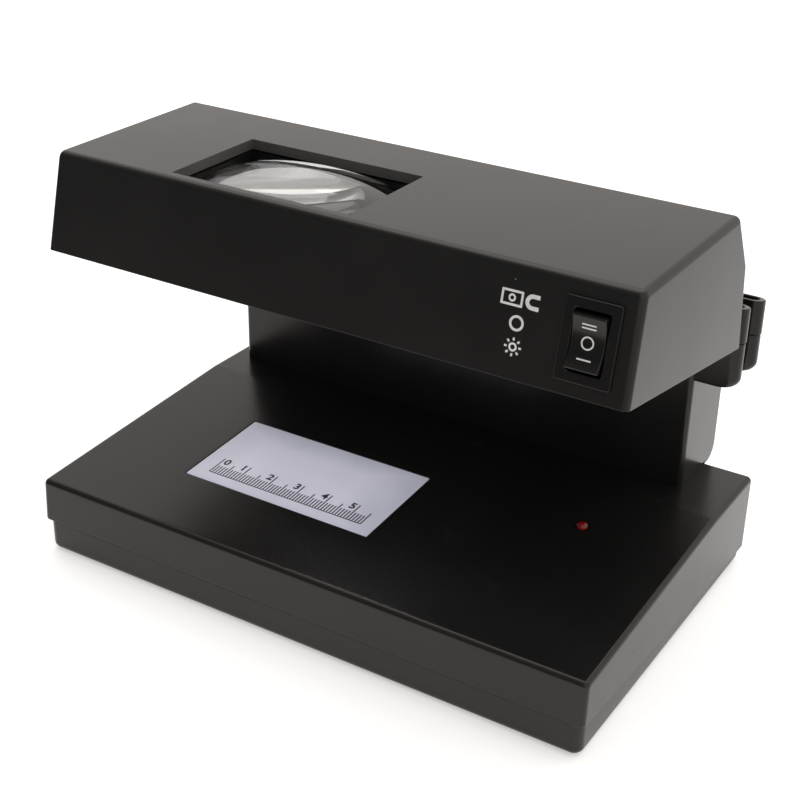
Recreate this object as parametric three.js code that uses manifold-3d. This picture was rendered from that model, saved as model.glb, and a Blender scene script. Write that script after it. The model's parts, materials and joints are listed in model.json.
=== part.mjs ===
// Counterfeit bill detector, in millimetres.
// +X is the user's right, +Y the rear and +Z up. A note is laid on the sloped deck, under a lamp
// and a lens that a column holds over it. Dimensions are measured from the middle of the base, and
// at the end the whole model moves so that its origin is on the table, under the middle of its
// overall width and depth.

import * as THREE from 'three';
import { mergeVertices } from 'three/addons/utils/BufferGeometryUtils.js';
import Module from 'manifold-3d';

const wasm = await Module();
wasm.setup();

// ---------------------------------------------------------------- driving dimensions

const wall = 2.4;          // moulded shells
const gap = 0.3;           // between a piece and the one it is fitted in
const seam = 0.05;         // between two pieces that stand on each other
const screw = { headRadius: 2.8, headHeight: 1.7, shankRadius: 1.2, pilot: 1.4, hole: 1.7, sink: 3.3 };
const beyond = 20;         // how far a cutter reaches past what it cuts
const everywhere = [-200, 200];

const base = {
  side: 91.4, front: -57, rear: 57.1,
  bottom: 10.6, rearBottom: 4.2, frontTop: 24.3, ledgeTop: 29.3, bend: 26.6,
  frontLean: 0.7, edge: 1.6, corner: 1.8,
};
const tray = {
  side: 90.6, front: -57, rear: 56.3, bottom: 0.5, floor: 2.2, edge: 2, corner: 3,
  lipSide: 88.6, lipFront: -54.8, lipRear: 54.3, lipTop: 12.8, lipCorner: 4,
};
const foot = { radius: 6, height: 2, sink: 1.6, x: 76, front: -46, rear: 43 };
const baseScrew = { x: 56, front: -46, rear: 43, split: 12.3, boss: 4, sunk: 2.6, length: 14 };

const panel = { left: -56.2, right: 9.2, front: -31.8, rear: 3.2, thickness: 2.6, corner: 0.8 };
const lightBox = { margin: 2.5, wall: 4, depth: 10, floor: 1.5 };
const whiteLamp = { x: 18, y: 8, halfWidth: 1.75, halfDepth: 1.4, height: 1.9 };
const indicator = { x: 59.7, y: 4.1, radius: 1.85, flange: 2.5 };
const controlBoard = { x: [18, 80], y: [-36, 30], z: [6.4, 8], restInset: 2.5, restRadius: 2.2 };
const lampBoard = { inset: 1, thickness: 1.6, lift: 0.3 };
const transformer = { core: [[26, 50], [4, 12]], coil: [[29, 47], [-2, 18]], height: 14, coilInset: 2 };
const capacitor = { at: [66, -20], radius: 5, height: 12 };
const buzzer = { at: [36, -20], radius: 6, height: 9, hole: 1, holeDepth: 2 };

const column = {
  left: -85.6, right: 75.6, front: 38.2, rear: 65.7,
  hangBottom: 27, hangFront: 57.4, hangCorner: 6, corner: 2, rearWall: 4.2, floor: 2.4,
};
const rearCover = { left: -79, right: 70, bottom: 36, top: 70, thickness: 2.2, ledge: 4 };
const rearScrew = { left: -70, right: 61, low: 41, high: 65, boss: 3.5, sunk: 1, length: 9 };
const vents = { count: 6, left: -26, spacing: 5, width: 2.2, bottom: 43, top: 63 };
const inlet = {
  x: -52, z: 51, width: 21, height: 11, depth: 13, rim: 2, proud: 1.5,
  mouthHalf: [8, 3.6], mouthCorner: 3.5, mouthFloor: 3, pinRadius: 1.2, pinSpacing: 8.6,
};
const ratingPlate = { x: 34, z: 53, halfWidth: 19, halfHeight: 8, thickness: 0.3 };
const cable = { x: 46, front: 45, rear: 54, halfWidth: 7, radius: 1.5 };

// The posts stand on the column's right side. Their lower halves belong to the column and their
// upper ones to the head, which stands a hair proud of the lower.
const post = {
  out: 88.3, width: 6.5, bottom: 64.4, rise: 10.7, wall: 1.2, tipWall: 1.8, floor: 67, foot: 3,
  fronts: [39, 52.1], step: 0.15,
};
const pickup = { front: 46.9, rear: 51, bottom: 66, top: 73, proud: 0.7, depth: 10 };

const head = {
  left: -95.6, right: 88.9, draft: 1,
  frontBottomY: -41.7, frontBottomZ: 92.9, frontTopY: -35, top: 121.2,
  backTopY: 26.5, chamferY: 34.6, chamferZ: 105.2, rearY: 37.1, rearZ: 79.3,
  roof: 3, edge: 1.1, frontRound: 2.6, backRound: 1.4,
};
const rearBox = { rise: 13, corner: 3, edge: 2 };
const lensWindow = { left: -56, right: 2.8, front: -31, rear: 5.6 };
const underplate = {
  recess: 1.4, thickness: 1.8, clearance: 0.9, frontLean: 0.5, rearLean: 0.2,
  lampEnd: 3, lampHalf: 9,
};
const viewing = { left: -60, right: 6.8, front: -35, rear: 7.8 };
const headScrew = { at: [[-87, -29], [60, -29], [-87, 27], [80, 27]], boss: 3.5, length: 12 };
const wireDoor = { left: 52, right: 73, low: 3.5, high: 12 };

const lens = { sideGap: 1.1, frontGap: 1.3, radius: 115, edgeHalf: 1.2, below: 1.2 };
const lensFrame = { wall: 1, clearance: 0.2, bottom: 107.5, top: 117.8, lip: 1, floor: 1.4 };

const tube = {
  left: -72, right: 64, y: 20.2, z: 96, radius: 7.9, cap: 7,
  pinRadius: 1.2, pinHalfSpacing: 2.5, pinLength: 6.8,
};
const socket = { thickness: 8, halfWidth: 8, bottom: 86.6, top: 102.5, bore: 4.3, slot: 1.6 };
const reflector = { radius: 11, sheet: 0.6, from: -25, to: 150, inset: 4 };

const rockerSwitch = {
  x: 75.9, z: 106.75, bezelWidth: 15, bezelHeight: 21, bezelCorner: 0.8, proud: 0.9, lift: 0.1,
  bodyWidth: 12.9, bodyHeight: 19.1, bodyDepth: 11,
  mouthWidth: 9.4, mouthHeight: 15.5, mouthDepth: 9.5,
  pivotDepth: 1, trunnion: 1.2, trunnionHole: 1.5, trunnionSpan: 10.8, holeSpan: 11.6,
};
const terminal = { spacing: 6, width: 4.8, thickness: 0.8, length: 7 };

// ---------------------------------------------------------------- finishes

const finish = (color, roughness, metalness = 0) =>
  new THREE.MeshStandardMaterial({ color, roughness, metalness });

const blackShell = finish(0x1b1a1a, 0.32);
const blackGloss = finish(0x131313, 0.22);
const rubber = finish(0x202020, 0.85);
const steel = finish(0xb9b9b6, 0.35, 1);
const tin = finish(0xc8c6c0, 0.4, 1);
const aluminium = finish(0xd5d6d8, 0.25, 1);
const milkPlate = finish(0xd9d8e8, 0.45);
const whitePlastic = finish(0xe9e8e4, 0.5);
const board = finish(0x1f5a3a, 0.5);
const redLamp = finish(0xb01010, 0.15);
const ferrite = finish(0x3a3836, 0.7);
const glassClear = finish(0xeef2f2, 0.03);
const tubeGlass = finish(0x2a2440, 0.12);
const silverLabel = finish(0xc9cacb, 0.4);
const wire = finish(0x2b2b2e, 0.5);

// ---------------------------------------------------------------- solids

function withoutSlivers(index) {
  const kept = [];
  for (let i = 0; i < index.length; i += 3) {
    const [a, b, c] = index.slice(i, i + 3);
    if (a !== b && b !== c && c !== a) kept.push(a, b, c);
  }
  return new Uint32Array(kept);
}

function solid(geometry) {
  const bare = geometry.clone();
  bare.deleteAttribute('normal');
  bare.deleteAttribute('uv');
  const merged = mergeVertices(bare, 1e-4);
  const triVerts = withoutSlivers(merged.index.array);
  const vertProperties = merged.attributes.position.array;
  return new wasm.Manifold(new wasm.Mesh({ numProp: 3, vertProperties, triVerts }));
}

function toGeometry(body) {
  const { vertProperties, triVerts } = body.getMesh();
  const geometry = new THREE.BufferGeometry();
  geometry.setAttribute('position', new THREE.BufferAttribute(vertProperties, 3));
  geometry.setIndex(new THREE.BufferAttribute(triVerts, 1));
  geometry.computeVertexNormals();
  return geometry;
}

const join = (first, ...rest) => rest.reduce((sum, next) => sum.add(next), first);
const cut = (first, ...rest) => rest.reduce((left, next) => left.subtract(next), first);

function box(x, y, z) {
  const size = [x, y, z].map(([low, high]) => high - low);
  const middle = [x, y, z].map(([low, high]) => (low + high) / 2);
  return solid(new THREE.BoxGeometry(...size).translate(...middle));
}

// Corners are [u, v] or [u, v, radius], counter-clockwise.
function roundedShape(corners) {
  const shape = new THREE.Shape();
  const count = corners.length;
  corners.forEach(([u, v, radius = 0], i) => {
    const here = new THREE.Vector2(u, v);
    const toLast = new THREE.Vector2(...corners[(i + count - 1) % count]).sub(here).normalize();
    const toNext = new THREE.Vector2(...corners[(i + 1) % count]).sub(here).normalize();
    const half = Math.acos(toLast.dot(toNext)) / 2;
    const start = here.clone().addScaledVector(toLast, radius / Math.tan(half));
    if (i === 0) shape.moveTo(start.x, start.y);
    else shape.lineTo(start.x, start.y);
    if (radius === 0) return;
    const end = here.clone().addScaledVector(toNext, radius / Math.tan(half));
    const inward = toLast.clone().add(toNext).normalize();
    const centre = here.clone().addScaledVector(inward, radius / Math.sin(half));
    const from = start.sub(centre).angle();
    const to = end.sub(centre).angle();
    shape.absarc(centre.x, centre.y, radius, from, to, toLast.cross(toNext) > 0);
  });
  shape.closePath();
  return shape;
}

const rectangle = (u, v, radius = 0) => roundedShape([
  [u[0], v[0], radius],
  [u[1], v[0], radius],
  [u[1], v[1], radius],
  [u[0], v[1], radius],
]);

function disc(radius, u = 0, v = 0) {
  return new THREE.Shape().absarc(u, v, radius, 0, 2 * Math.PI);
}

// Moves every side of an outline inwards by its own distance; side i starts at corner i.
function inset(corners, distances) {
  const sides = corners.map(([u, v], i) => {
    const [nextU, nextV] = corners[(i + 1) % corners.length];
    const along = new THREE.Vector2(nextU - u, nextV - v).normalize();
    const inward = new THREE.Vector2(-along.y, along.x);
    return { along, start: new THREE.Vector2(u, v).addScaledVector(inward, distances[i]) };
  });
  return sides.map((side, i) => {
    const last = sides[(i + sides.length - 1) % sides.length];
    const between = side.start.clone().sub(last.start);
    const reach = between.cross(side.along) / last.along.cross(side.along);
    return last.start.clone().addScaledVector(last.along, reach).toArray();
  });
}

const axisX = new THREE.Vector3(1, 0, 0);
const axisY = new THREE.Vector3(0, 1, 0);
const axisZ = new THREE.Vector3(0, 0, 1);
const outlineToX = new THREE.Matrix4().makeBasis(axisY, axisZ, axisX);
const outlineToY = new THREE.Matrix4().makeBasis(axisX, axisZ, axisY.clone().negate());

function prism(shape, [low, high], { bevel = 0, arcSteps = 2 } = {}) {
  return new THREE.ExtrudeGeometry(shape, {
    depth: high - low - 2 * bevel,
    curveSegments: arcSteps,
    bevelEnabled: bevel > 0,
    bevelThickness: bevel,
    bevelSize: bevel,
    bevelOffset: -bevel,
    bevelSegments: 2,
  }).translate(0, 0, low + bevel);
}

// A prism along X has an outline in (y, z), one along Y in (x, z) and one along Z in (x, y).
const prismX = (shape, x, options) => prism(shape, x, options).applyMatrix4(outlineToX);
const prismY = (shape, y, options) =>
  prism(shape, [-y[1], -y[0]], options).applyMatrix4(outlineToY);

const rod = { x: prismX, y: prismY, z: prism };

function cylinder(direction, radius, [u, v], span, sides = 20) {
  return solid(rod[direction](disc(radius, u, v), span, { arcSteps: sides / 2 }));
}

// Outline points are [radius, height]; the first and the last are on the axis.
function turned(outline, sides) {
  const points = outline.map(([radius, height]) => new THREE.Vector2(radius, height));
  return new THREE.LatheGeometry(points, sides).rotateX(Math.PI / 2);
}

const model = new THREE.Group();

function place(name, body, material, parent = model) {
  const geometry = body.isBufferGeometry ? body : toGeometry(body);
  const mesh = new THREE.Mesh(geometry, material);
  mesh.name = name;
  parent.add(mesh);
  return mesh;
}

// ---------------------------------------------------------------- screws

// A pan-head screw with a cross recess. Its head's underside is at 0 and its shank runs to +Z.
function screwGeometry(length) {
  const { headRadius, headHeight, shankRadius } = screw;
  const blank = turned([
    [0, -headHeight],
    [headRadius * 0.6, -headHeight],
    [headRadius, -headHeight * 0.4],
    [headRadius, 0],
    [shankRadius, 0],
    [shankRadius, length - 1],
    [0, length],
  ], 10);
  const slot = [-0.45, 0.45];
  const arm = [-1.6, 1.6];
  const recess = [-headHeight - 1, -headHeight + 1];
  return toGeometry(cut(solid(blank), box(slot, arm, recess), box(arm, slot, recess)));
}

// ---------------------------------------------------------------- base

const deckSlope = Math.atan2(base.ledgeTop - base.frontTop, base.bend - base.front);

const deckHeight = (y) => base.frontTop + (y - base.front) * Math.tan(deckSlope);

// A frame whose origin is on the deck, with its XY plane in the deck's surface.
function deckFrame(x, y) {
  const frame = new THREE.Group();
  frame.position.set(x, y, deckHeight(y));
  frame.rotation.x = deckSlope;
  frame.updateMatrix();
  model.add(frame);
  return frame;
}

const panelCentre = [(panel.left + panel.right) / 2, (panel.front + panel.rear) / 2];
const panelHalf = [(panel.right - panel.left) / 2, (panel.rear - panel.front) / 2];
const panelFrame = deckFrame(...panelCentre);
const indicatorFrame = deckFrame(indicator.x, indicator.y);

const around = (half, margin) => [-half - margin, half + margin];

function panelOutline(margin, corner = 0) {
  return rectangle(around(panelHalf[0], margin), around(panelHalf[1], margin), corner);
}

const screwPlaces = [-1, 1].flatMap((side) =>
  [baseScrew.front, baseScrew.rear].map((y) => [side * baseScrew.x, y]));
const footPlaces = [-1, 1].flatMap((side) =>
  [foot.front, foot.rear].map((y) => [side * foot.x, y]));

// The joint between the base and its tray falls towards the rear.
const seamFall = (base.bottom - base.rearBottom) / (base.rear - base.front);
const seamHeight = (y) => base.bottom - (y - base.front) * seamFall;

// Everything between two heights over a sloping plane.
function slab(heightAt, low, high) {
  const [front, rear] = [-5 * beyond, 5 * beyond];
  return solid(prismX(roundedShape([
    [front, heightAt(front) + low],
    [rear, heightAt(rear) + low],
    [rear, heightAt(rear) + high],
    [front, heightAt(front) + high],
  ]), everywhere));
}

function baseShell() {
  const below = base.bottom - beyond;
  const lean = base.frontLean * (base.frontTop - below) / (base.frontTop - base.bottom);
  const corners = [
    [base.front - lean, below],
    [base.rear, below],
    [base.rear, base.ledgeTop, base.corner],
    [base.bend, base.ledgeTop],
    [base.front, base.frontTop, base.corner],
  ];
  const across = [-base.side, base.side];
  const outer = solid(prismX(roundedShape(corners), across, { bevel: base.edge }));
  const inner = roundedShape(inset(corners, [0, wall, wall, wall, wall]));
  const cavity = solid(prismX(inner, [-base.side + wall, base.side - wall]));
  const bosses = screwPlaces.map((at) =>
    cylinder('z', baseScrew.boss - gap, at, [baseScrew.split, base.ledgeTop], 12)
      .intersect(outer));
  const pilots = screwPlaces.map((at) =>
    cylinder('z', screw.pilot, at, [baseScrew.split - 1, baseScrew.split + 8], 8));
  const window = prism(panelOutline(0.2, panel.corner), [-wall - 1, 1]);
  const lampHole = prism(disc(indicator.radius + 0.2), [-wall - 1, 1], { arcSteps: 10 });
  return cut(
    join(cut(outer, cavity), ...bosses),
    slab(seamHeight, -2 * beyond, 0),
    ...pilots,
    solid(window.applyMatrix4(panelFrame.matrix)),
    solid(lampHole.applyMatrix4(indicatorFrame.matrix)),
    cableSlot([base.ledgeTop - wall - 1, base.ledgeTop + 1]),
  );
}

function cableSlot(z) {
  return box([cable.x - cable.halfWidth, cable.x + cable.halfWidth], [cable.front, cable.rear], z);
}

function baseTray() {
  const { side, front, rear, bottom, floor, edge, corner } = tray;
  const { lipSide, lipFront, lipRear, lipTop, lipCorner } = tray;
  const inside = (margin) => rectangle([-lipSide + margin, lipSide - margin],
    [lipFront + margin, lipRear - margin], lipCorner - margin);
  const pan = solid(prism(rectangle([-side, side], [front, rear], corner),
    [bottom, base.bottom + beyond], { bevel: edge }));
  const lip = solid(prism(inside(0), [bottom + edge, lipTop]));
  const cavity = solid(prism(inside(floor), [bottom + floor, lipTop + 1]));
  const shell = cut(join(cut(pan, slab(seamHeight, -gap, 2 * beyond)), lip), cavity);
  const bosses = screwPlaces.map((at) =>
    cylinder('z', baseScrew.boss, at, [bottom + floor - 1, baseScrew.split - gap], 12));
  const clearances = screwPlaces.map((at) =>
    cylinder('z', screw.hole, at, [bottom - 1, lipTop + 1], 10));
  const counterbores = screwPlaces.map((at) =>
    cylinder('z', screw.sink, at, [bottom - 1, bottom + baseScrew.sunk], 14));
  const recesses = footPlaces.map((at) =>
    cylinder('z', foot.radius + gap, at, [bottom - 1, bottom + foot.sink], 18));
  const rested = ([low, high]) => [low + controlBoard.restInset, high - controlBoard.restInset];
  const rests = rested(controlBoard.x).flatMap((x) => rested(controlBoard.y).map((y) =>
    cylinder('z', controlBoard.restRadius, [x, y],
      [bottom + floor - 1, controlBoard.z[0] - gap], 8)));
  return cut(
    join(shell, ...bosses, ...rests),
    ...clearances,
    ...counterbores,
    ...recesses,
  );
}

function rubberFoot() {
  return turned([
    [0, 0],
    [foot.radius - 1, 0],
    [foot.radius, 1],
    [foot.radius, foot.height],
    [0, foot.height],
  ], 18);
}

function addBase() {
  place('base_tray', baseTray(), blackShell);
  place('base_shell', baseShell(), blackShell);
  footPlaces.forEach(([x, y], i) => {
    place(`rubber_foot_${i + 1}`, rubberFoot(), rubber).position.set(x, y, 0);
  });
  screwPlaces.forEach(([x, y], i) => {
    place(`base_screw_${i + 1}`, screwGeometry(baseScrew.length), steel)
      .position.set(x, y, tray.bottom + baseScrew.sunk - seam);
  });
}

// ---------------------------------------------------------------- watermark panel and its lamps

function lightBoxBody() {
  const { margin, wall: rim, depth, floor } = lightBox;
  const top = -panel.thickness - gap;
  const outer = solid(prism(panelOutline(margin, 2), [top - depth, top]));
  const inner = solid(prism(panelOutline(margin - rim), [top - depth + floor, top + 1]));
  return cut(outer, inner);
}

function addWatermarkPanel() {
  const plate = prism(panelOutline(0, panel.corner), [-panel.thickness, 0]);
  place('watermark_panel', solid(plate), milkPlate, panelFrame);
  place('light_box', lightBoxBody(), whitePlastic, panelFrame);

  const boardBottom = -panel.thickness - gap - lightBox.depth + lightBox.floor + lampBoard.lift;
  const boardTop = boardBottom + lampBoard.thickness;
  const boardOutline = panelOutline(lightBox.margin - lightBox.wall - lampBoard.inset);
  place('watermark_lamp_board', solid(prism(boardOutline, [boardBottom, boardTop])),
    board, panelFrame);
  const { halfWidth, halfDepth, height } = whiteLamp;
  const lampPlaces = [-1, 1].flatMap((side) =>
    [-whiteLamp.y, whiteLamp.y].map((y) => [side * whiteLamp.x, y]));
  lampPlaces.forEach(([x, y], i) => {
    const body = box([-halfWidth, halfWidth], [-halfDepth, halfDepth], [0, height]);
    const lamp = place(`white_lamp_${i + 1}`, body, milkPlate, panelFrame);
    lamp.position.set(x, y, boardTop + gap);
  });
}

function addIndicator() {
  const { radius, flange } = indicator;
  const domeSteps = 4;
  const dome = Array.from({ length: domeSteps }, (_, i) => {
    const angle = Math.PI / 2 * i / domeSteps;
    return [radius * Math.cos(angle), radius * Math.sin(angle) - 0.3];
  });
  const outline = [
    [0, -wall - 1.2],
    [flange, -wall - 1.2],
    [flange, -wall - gap],
    [radius, -wall - gap],
    ...dome,
    [0, radius - 0.3],
  ];
  place('indicator_lamp', solid(turned(outline, 16)), redLamp, indicatorFrame);
}

// ---------------------------------------------------------------- control board

function addControlBoard() {
  const { x, y, z } = controlBoard;
  const foot = z[1] + gap;
  place('control_board', box(x, y, z), board);
  const core = box(...transformer.core, [foot, foot + transformer.height]);
  const coil = box(...transformer.coil,
    [foot + transformer.coilInset, foot + transformer.height - transformer.coilInset]);
  place('transformer', join(core, coil), ferrite);
  place('capacitor',
    cylinder('z', capacitor.radius, capacitor.at, [foot, foot + capacitor.height]), blackGloss);
  const top = foot + buzzer.height;
  const can = cylinder('z', buzzer.radius, buzzer.at, [foot, top]);
  const soundHole = cylinder('z', buzzer.hole, buzzer.at, [top - buzzer.holeDepth, top + 1], 12);
  place('buzzer', cut(can, soundHole), blackGloss);
}

// ---------------------------------------------------------------- column

// The head's underside slopes, and the joint between head and column goes on along it.
const undersideFall = (head.frontBottomZ - head.rearZ) / (head.rearY - head.frontBottomY);
const undersideHeight = (y) => head.frontBottomZ - (y - head.frontBottomY) * undersideFall;

// One guide post, whose free end is round; its other end is inside the column's wall.
function postSolid(front, trim) {
  const inside = column.right - 1;
  const ends = [front + trim, front + post.width - trim];
  const radius = post.width / 2 - trim - 0.01;
  const outline = roundedShape([
    [inside, ends[0]],
    [post.out - trim, ends[0], radius],
    [post.out - trim, ends[1], radius],
    [inside, ends[1]],
  ]);
  const side = roundedShape([
    [inside - 1, post.bottom],
    [post.out - trim, post.bottom, post.foot],
    [post.out - trim, head.top],
    [inside - 1, head.top],
  ]);
  const profile = solid(prismY(side, [front - 1, front + post.width + 1]));
  const bar = solid(prism(outline, [post.bottom, head.top], { arcSteps: 4 })).intersect(profile);
  return bar.subtract(slab(undersideHeight, post.rise, 10 * beyond));
}

function postBore(front) {
  const middle = front + post.width / 2;
  const half = post.width / 2 - post.wall;
  const outline = rectangle([column.right + 1, post.out - post.tipWall],
    [middle - half, middle + half], half - 0.01);
  return solid(prism(outline, [post.floor, head.top], { arcSteps: 3 }));
}

const rearScrewPlaces = [rearScrew.left, rearScrew.right].flatMap((x) =>
  [rearScrew.low, rearScrew.high].map((z) => [x, z]));

function columnShell() {
  const { left, right, front, rear, hangBottom, hangFront, hangCorner, corner } = column;
  const foot = base.ledgeTop + seam;
  const plan = solid(prism(rectangle([left, right], [front, rear], corner),
    [hangBottom - 1, head.top], { arcSteps: 3 }));
  const side = roundedShape([
    [front - 1, foot],
    [hangFront, foot],
    [hangFront, hangBottom],
    [rear, hangBottom, hangCorner],
    [rear, head.top],
    [front - 1, head.top],
  ]);
  const outer = plan.intersect(solid(prismX(side, [left - 1, right + 1], { arcSteps: 5 })));
  const inside = [left + wall, right - wall];
  const hollow = box(inside, [front + wall, rear - column.rearWall],
    [foot + column.floor, head.top]);
  const door = box([rearCover.left, rearCover.right], [rear - rearCover.thickness, rear + 1],
    [rearCover.bottom, rearCover.top]);
  const doorway = box([rearCover.left + rearCover.ledge, rearCover.right - rearCover.ledge],
    [rear - beyond / 2, rear + 1],
    [rearCover.bottom + rearCover.ledge, rearCover.top - rearCover.ledge]);
  const bosses = rearScrewPlaces.map((at) =>
    cylinder('y', rearScrew.boss, at, [front + 1, rear - rearCover.thickness], 12));
  const pilots = rearScrewPlaces.map((at) => cylinder('y', screw.pilot, at, [rear - 14, rear + 1], 8));
  const pickupMouth = box([right - wall - 1, right + 1], [pickup.front - gap, pickup.rear + gap],
    [pickup.bottom - gap, pickup.top + gap]);
  return cut(
    join(
      cut(outer, hollow, door, doorway),
      ...bosses,
      ...post.fronts.map((at) => postSolid(at, post.step)),
    ),
    slab(undersideHeight, -gap, 10 * beyond),
    ...pilots,
    ...post.fronts.map(postBore),
    pickupMouth,
    cableSlot([foot - 1, foot + column.floor + 1]),
  );
}

function rearCoverPlate() {
  const inner = rectangle([rearCover.left + gap, rearCover.right - gap],
    [rearCover.bottom + gap, rearCover.top - gap], 0.6);
  const plate = solid(prismY(inner, [column.rear - rearCover.thickness + 0.1, column.rear]));
  const holes = rearScrewPlaces.flatMap((at) => [
    cylinder('y', screw.hole, at, [column.rear - 5, column.rear + 1], 10),
    cylinder('y', screw.sink, at, [column.rear - rearScrew.sunk, column.rear + 1], 14),
  ]);
  const slots = Array.from({ length: vents.count }, (_, i) => {
    const x = vents.left + vents.spacing * i;
    const slot = rectangle([x, x + vents.width], [vents.bottom, vents.top], vents.width / 2 - 0.1);
    return solid(prismY(slot, [column.rear - 5, column.rear + 1], { arcSteps: 1 }));
  });
  const inletHole = box([inlet.x - inlet.width / 2 - gap, inlet.x + inlet.width / 2 + gap],
    [column.rear - 5, column.rear + 1],
    [inlet.z - inlet.height / 2 - gap, inlet.z + inlet.height / 2 + gap]);
  return cut(plate, ...holes, ...slots, inletHole);
}

function inletBody() {
  const { x, z, width, height, depth, rim, proud, mouthHalf, mouthCorner, mouthFloor } = inlet;
  const centred = ([halfWidth, halfHeight]) =>
    [[x - halfWidth, x + halfWidth], [z - halfHeight, z + halfHeight]];
  const flange = rectangle(...centred([width / 2 + rim, height / 2 + rim]), 2);
  const [bodyX, bodyZ] = centred([width / 2, height / 2]);
  const mouth = rectangle(...centred(mouthHalf), mouthCorner);
  return cut(
    join(
      solid(prismY(flange, [column.rear + seam, column.rear + proud])),
      box(bodyX, [column.rear - depth, column.rear + proud / 2], bodyZ),
    ),
    solid(prismY(mouth, [column.rear - depth + mouthFloor, column.rear + 2], { arcSteps: 3 })),
  );
}

function addColumn() {
  place('column_shell', columnShell(), blackShell);
  place('rear_cover', rearCoverPlate(), blackShell);
  rearScrewPlaces.forEach(([x, z], i) => {
    const screw = place(`rear_screw_${i + 1}`, screwGeometry(9), steel);
    screw.rotation.x = Math.PI / 2;
    screw.position.set(x, column.rear - rearScrew.sunk + seam, z);
  });

  place('power_inlet', inletBody(), blackGloss);
  [-1, 1].forEach((side, i) => {
    const at = [inlet.x + side * inlet.pinSpacing / 2, inlet.z];
    const seat = column.rear - inlet.depth + inlet.mouthFloor + seam;
    place(`power_pin_${i + 1}`, cylinder('y', inlet.pinRadius, at, [seat, column.rear - 2], 12),
      tin);
  });
  const { x, z, halfWidth, halfHeight, thickness } = ratingPlate;
  const plate = rectangle([x - halfWidth, x + halfWidth], [z - halfHeight, z + halfHeight], 1.5);
  place('rating_plate',
    solid(prismY(plate, [column.rear + seam, column.rear + seam + thickness])), silverLabel);
  const pickupX = [column.right - pickup.depth, column.right + pickup.proud];
  place('magnetic_pickup', box(pickupX, [pickup.front, pickup.rear],
    [pickup.bottom, pickup.top]), tin);
}

// ---------------------------------------------------------------- head

const frontRake = Math.atan2(head.frontTopY - head.frontBottomY, head.top - head.frontBottomZ);
const frontFaceY = (z) => head.frontBottomY + (z - head.frontBottomZ) * Math.tan(frontRake);

// The faces of the head run on below its open underside by this much before they are trimmed.
const headRunOut = 12;
const rearLean = (head.rearY - head.chamferY) / (head.chamferZ - head.rearZ);
const headCorners = [
  [frontFaceY(head.frontBottomZ - headRunOut), head.frontBottomZ - headRunOut],
  [head.rearY + headRunOut * rearLean, head.rearZ - headRunOut],
  [head.chamferY, head.chamferZ, head.backRound],
  [head.backTopY, head.top, head.backRound],
  [head.frontTopY, head.top, head.frontRound],
];

// The head narrows a little towards its top, as a moulding that leaves its tool upwards does.
function drafted(geometry) {
  const position = geometry.attributes.position;
  const middle = (head.left + head.right) / 2;
  const half = (head.right - head.left) / 2;
  for (let i = 0; i < position.count; i += 1) {
    const rise = (position.getZ(i) - head.frontBottomZ) / (head.top - head.frontBottomZ);
    const narrower = 1 - head.draft * Math.max(rise, 0) / half;
    position.setX(i, middle + (position.getX(i) - middle) * narrower);
  }
  return geometry;
}

const switchFrame = new THREE.Group();
switchFrame.position.set(rockerSwitch.x, frontFaceY(rockerSwitch.z), rockerSwitch.z);
switchFrame.rotation.x = -frontRake;
switchFrame.updateMatrix();
model.add(switchFrame);

function headShell() {
  const outerBlock = solid(drafted(prismX(roundedShape(headCorners), [head.left, head.right],
    { bevel: head.edge })));
  const innerCorners = inset(headCorners, [0, wall, wall, head.roof, wall]);
  const cavity = solid(prismX(roundedShape(innerCorners),
    [head.left + wall + head.draft / 2, head.right - wall - head.draft / 2]));

  const boxTop = (y) => undersideHeight(y) + rearBox.rise;
  const boxCorners = [
    [head.chamferY, undersideHeight(head.chamferY) - headRunOut],
    [column.rear, undersideHeight(column.rear) - headRunOut],
    [column.rear, boxTop(column.rear), rearBox.corner],
    [head.chamferY, boxTop(head.chamferY)],
  ];
  const boxBlock = solid(prismX(roundedShape(boxCorners), [column.left, column.right],
    { bevel: rearBox.edge }));
  const [, boxRearBottom, boxRearTop] = inset(boxCorners, [0, wall, wall, wall]);
  const boxFront = head.rearY + wall;
  const boxInner = [
    [boxFront, boxRearBottom[1]],
    boxRearBottom,
    boxRearTop,
    [boxFront, boxTop(boxFront) - wall],
  ];
  const boxCavity = solid(prismX(roundedShape(boxInner),
    [column.left + wall, column.right - wall]));

  const bosses = headScrew.at.map(([x, y]) => {
    const foot = undersideHeight(y) + underplate.recess + underplate.thickness + 4 * gap;
    return cylinder('z', headScrew.boss, [x, y], [foot, head.top], 12).intersect(outerBlock);
  });
  const pilots = headScrew.at.map((at) =>
    cylinder('z', screw.pilot, at, [head.rearZ, head.frontBottomZ + headScrew.length], 8));
  const window = box([lensWindow.left, lensWindow.right], [lensWindow.front, lensWindow.rear],
    [head.top - head.roof - 1, head.top + 1]);
  const switchHole = new THREE.BoxGeometry(rockerSwitch.bodyWidth + 0.4, beyond,
    rockerSwitch.bodyHeight + 0.4).applyMatrix4(switchFrame.matrix);
  const wireWay = box([wireDoor.left, wireDoor.right], [head.rearY - 8, head.rearY + 4],
    [head.rearZ + wireDoor.low, head.rearZ + wireDoor.high]);
  return cut(
    join(
      cut(join(outerBlock, boxBlock), cavity, boxCavity),
      ...bosses,
      ...post.fronts.map((at) => postSolid(at, 0)),
    ),
    slab(undersideHeight, -10 * beyond, 0),
    ...pilots,
    ...post.fronts.map(postBore),
    window,
    solid(switchHole),
    wireWay,
  );
}

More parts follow.
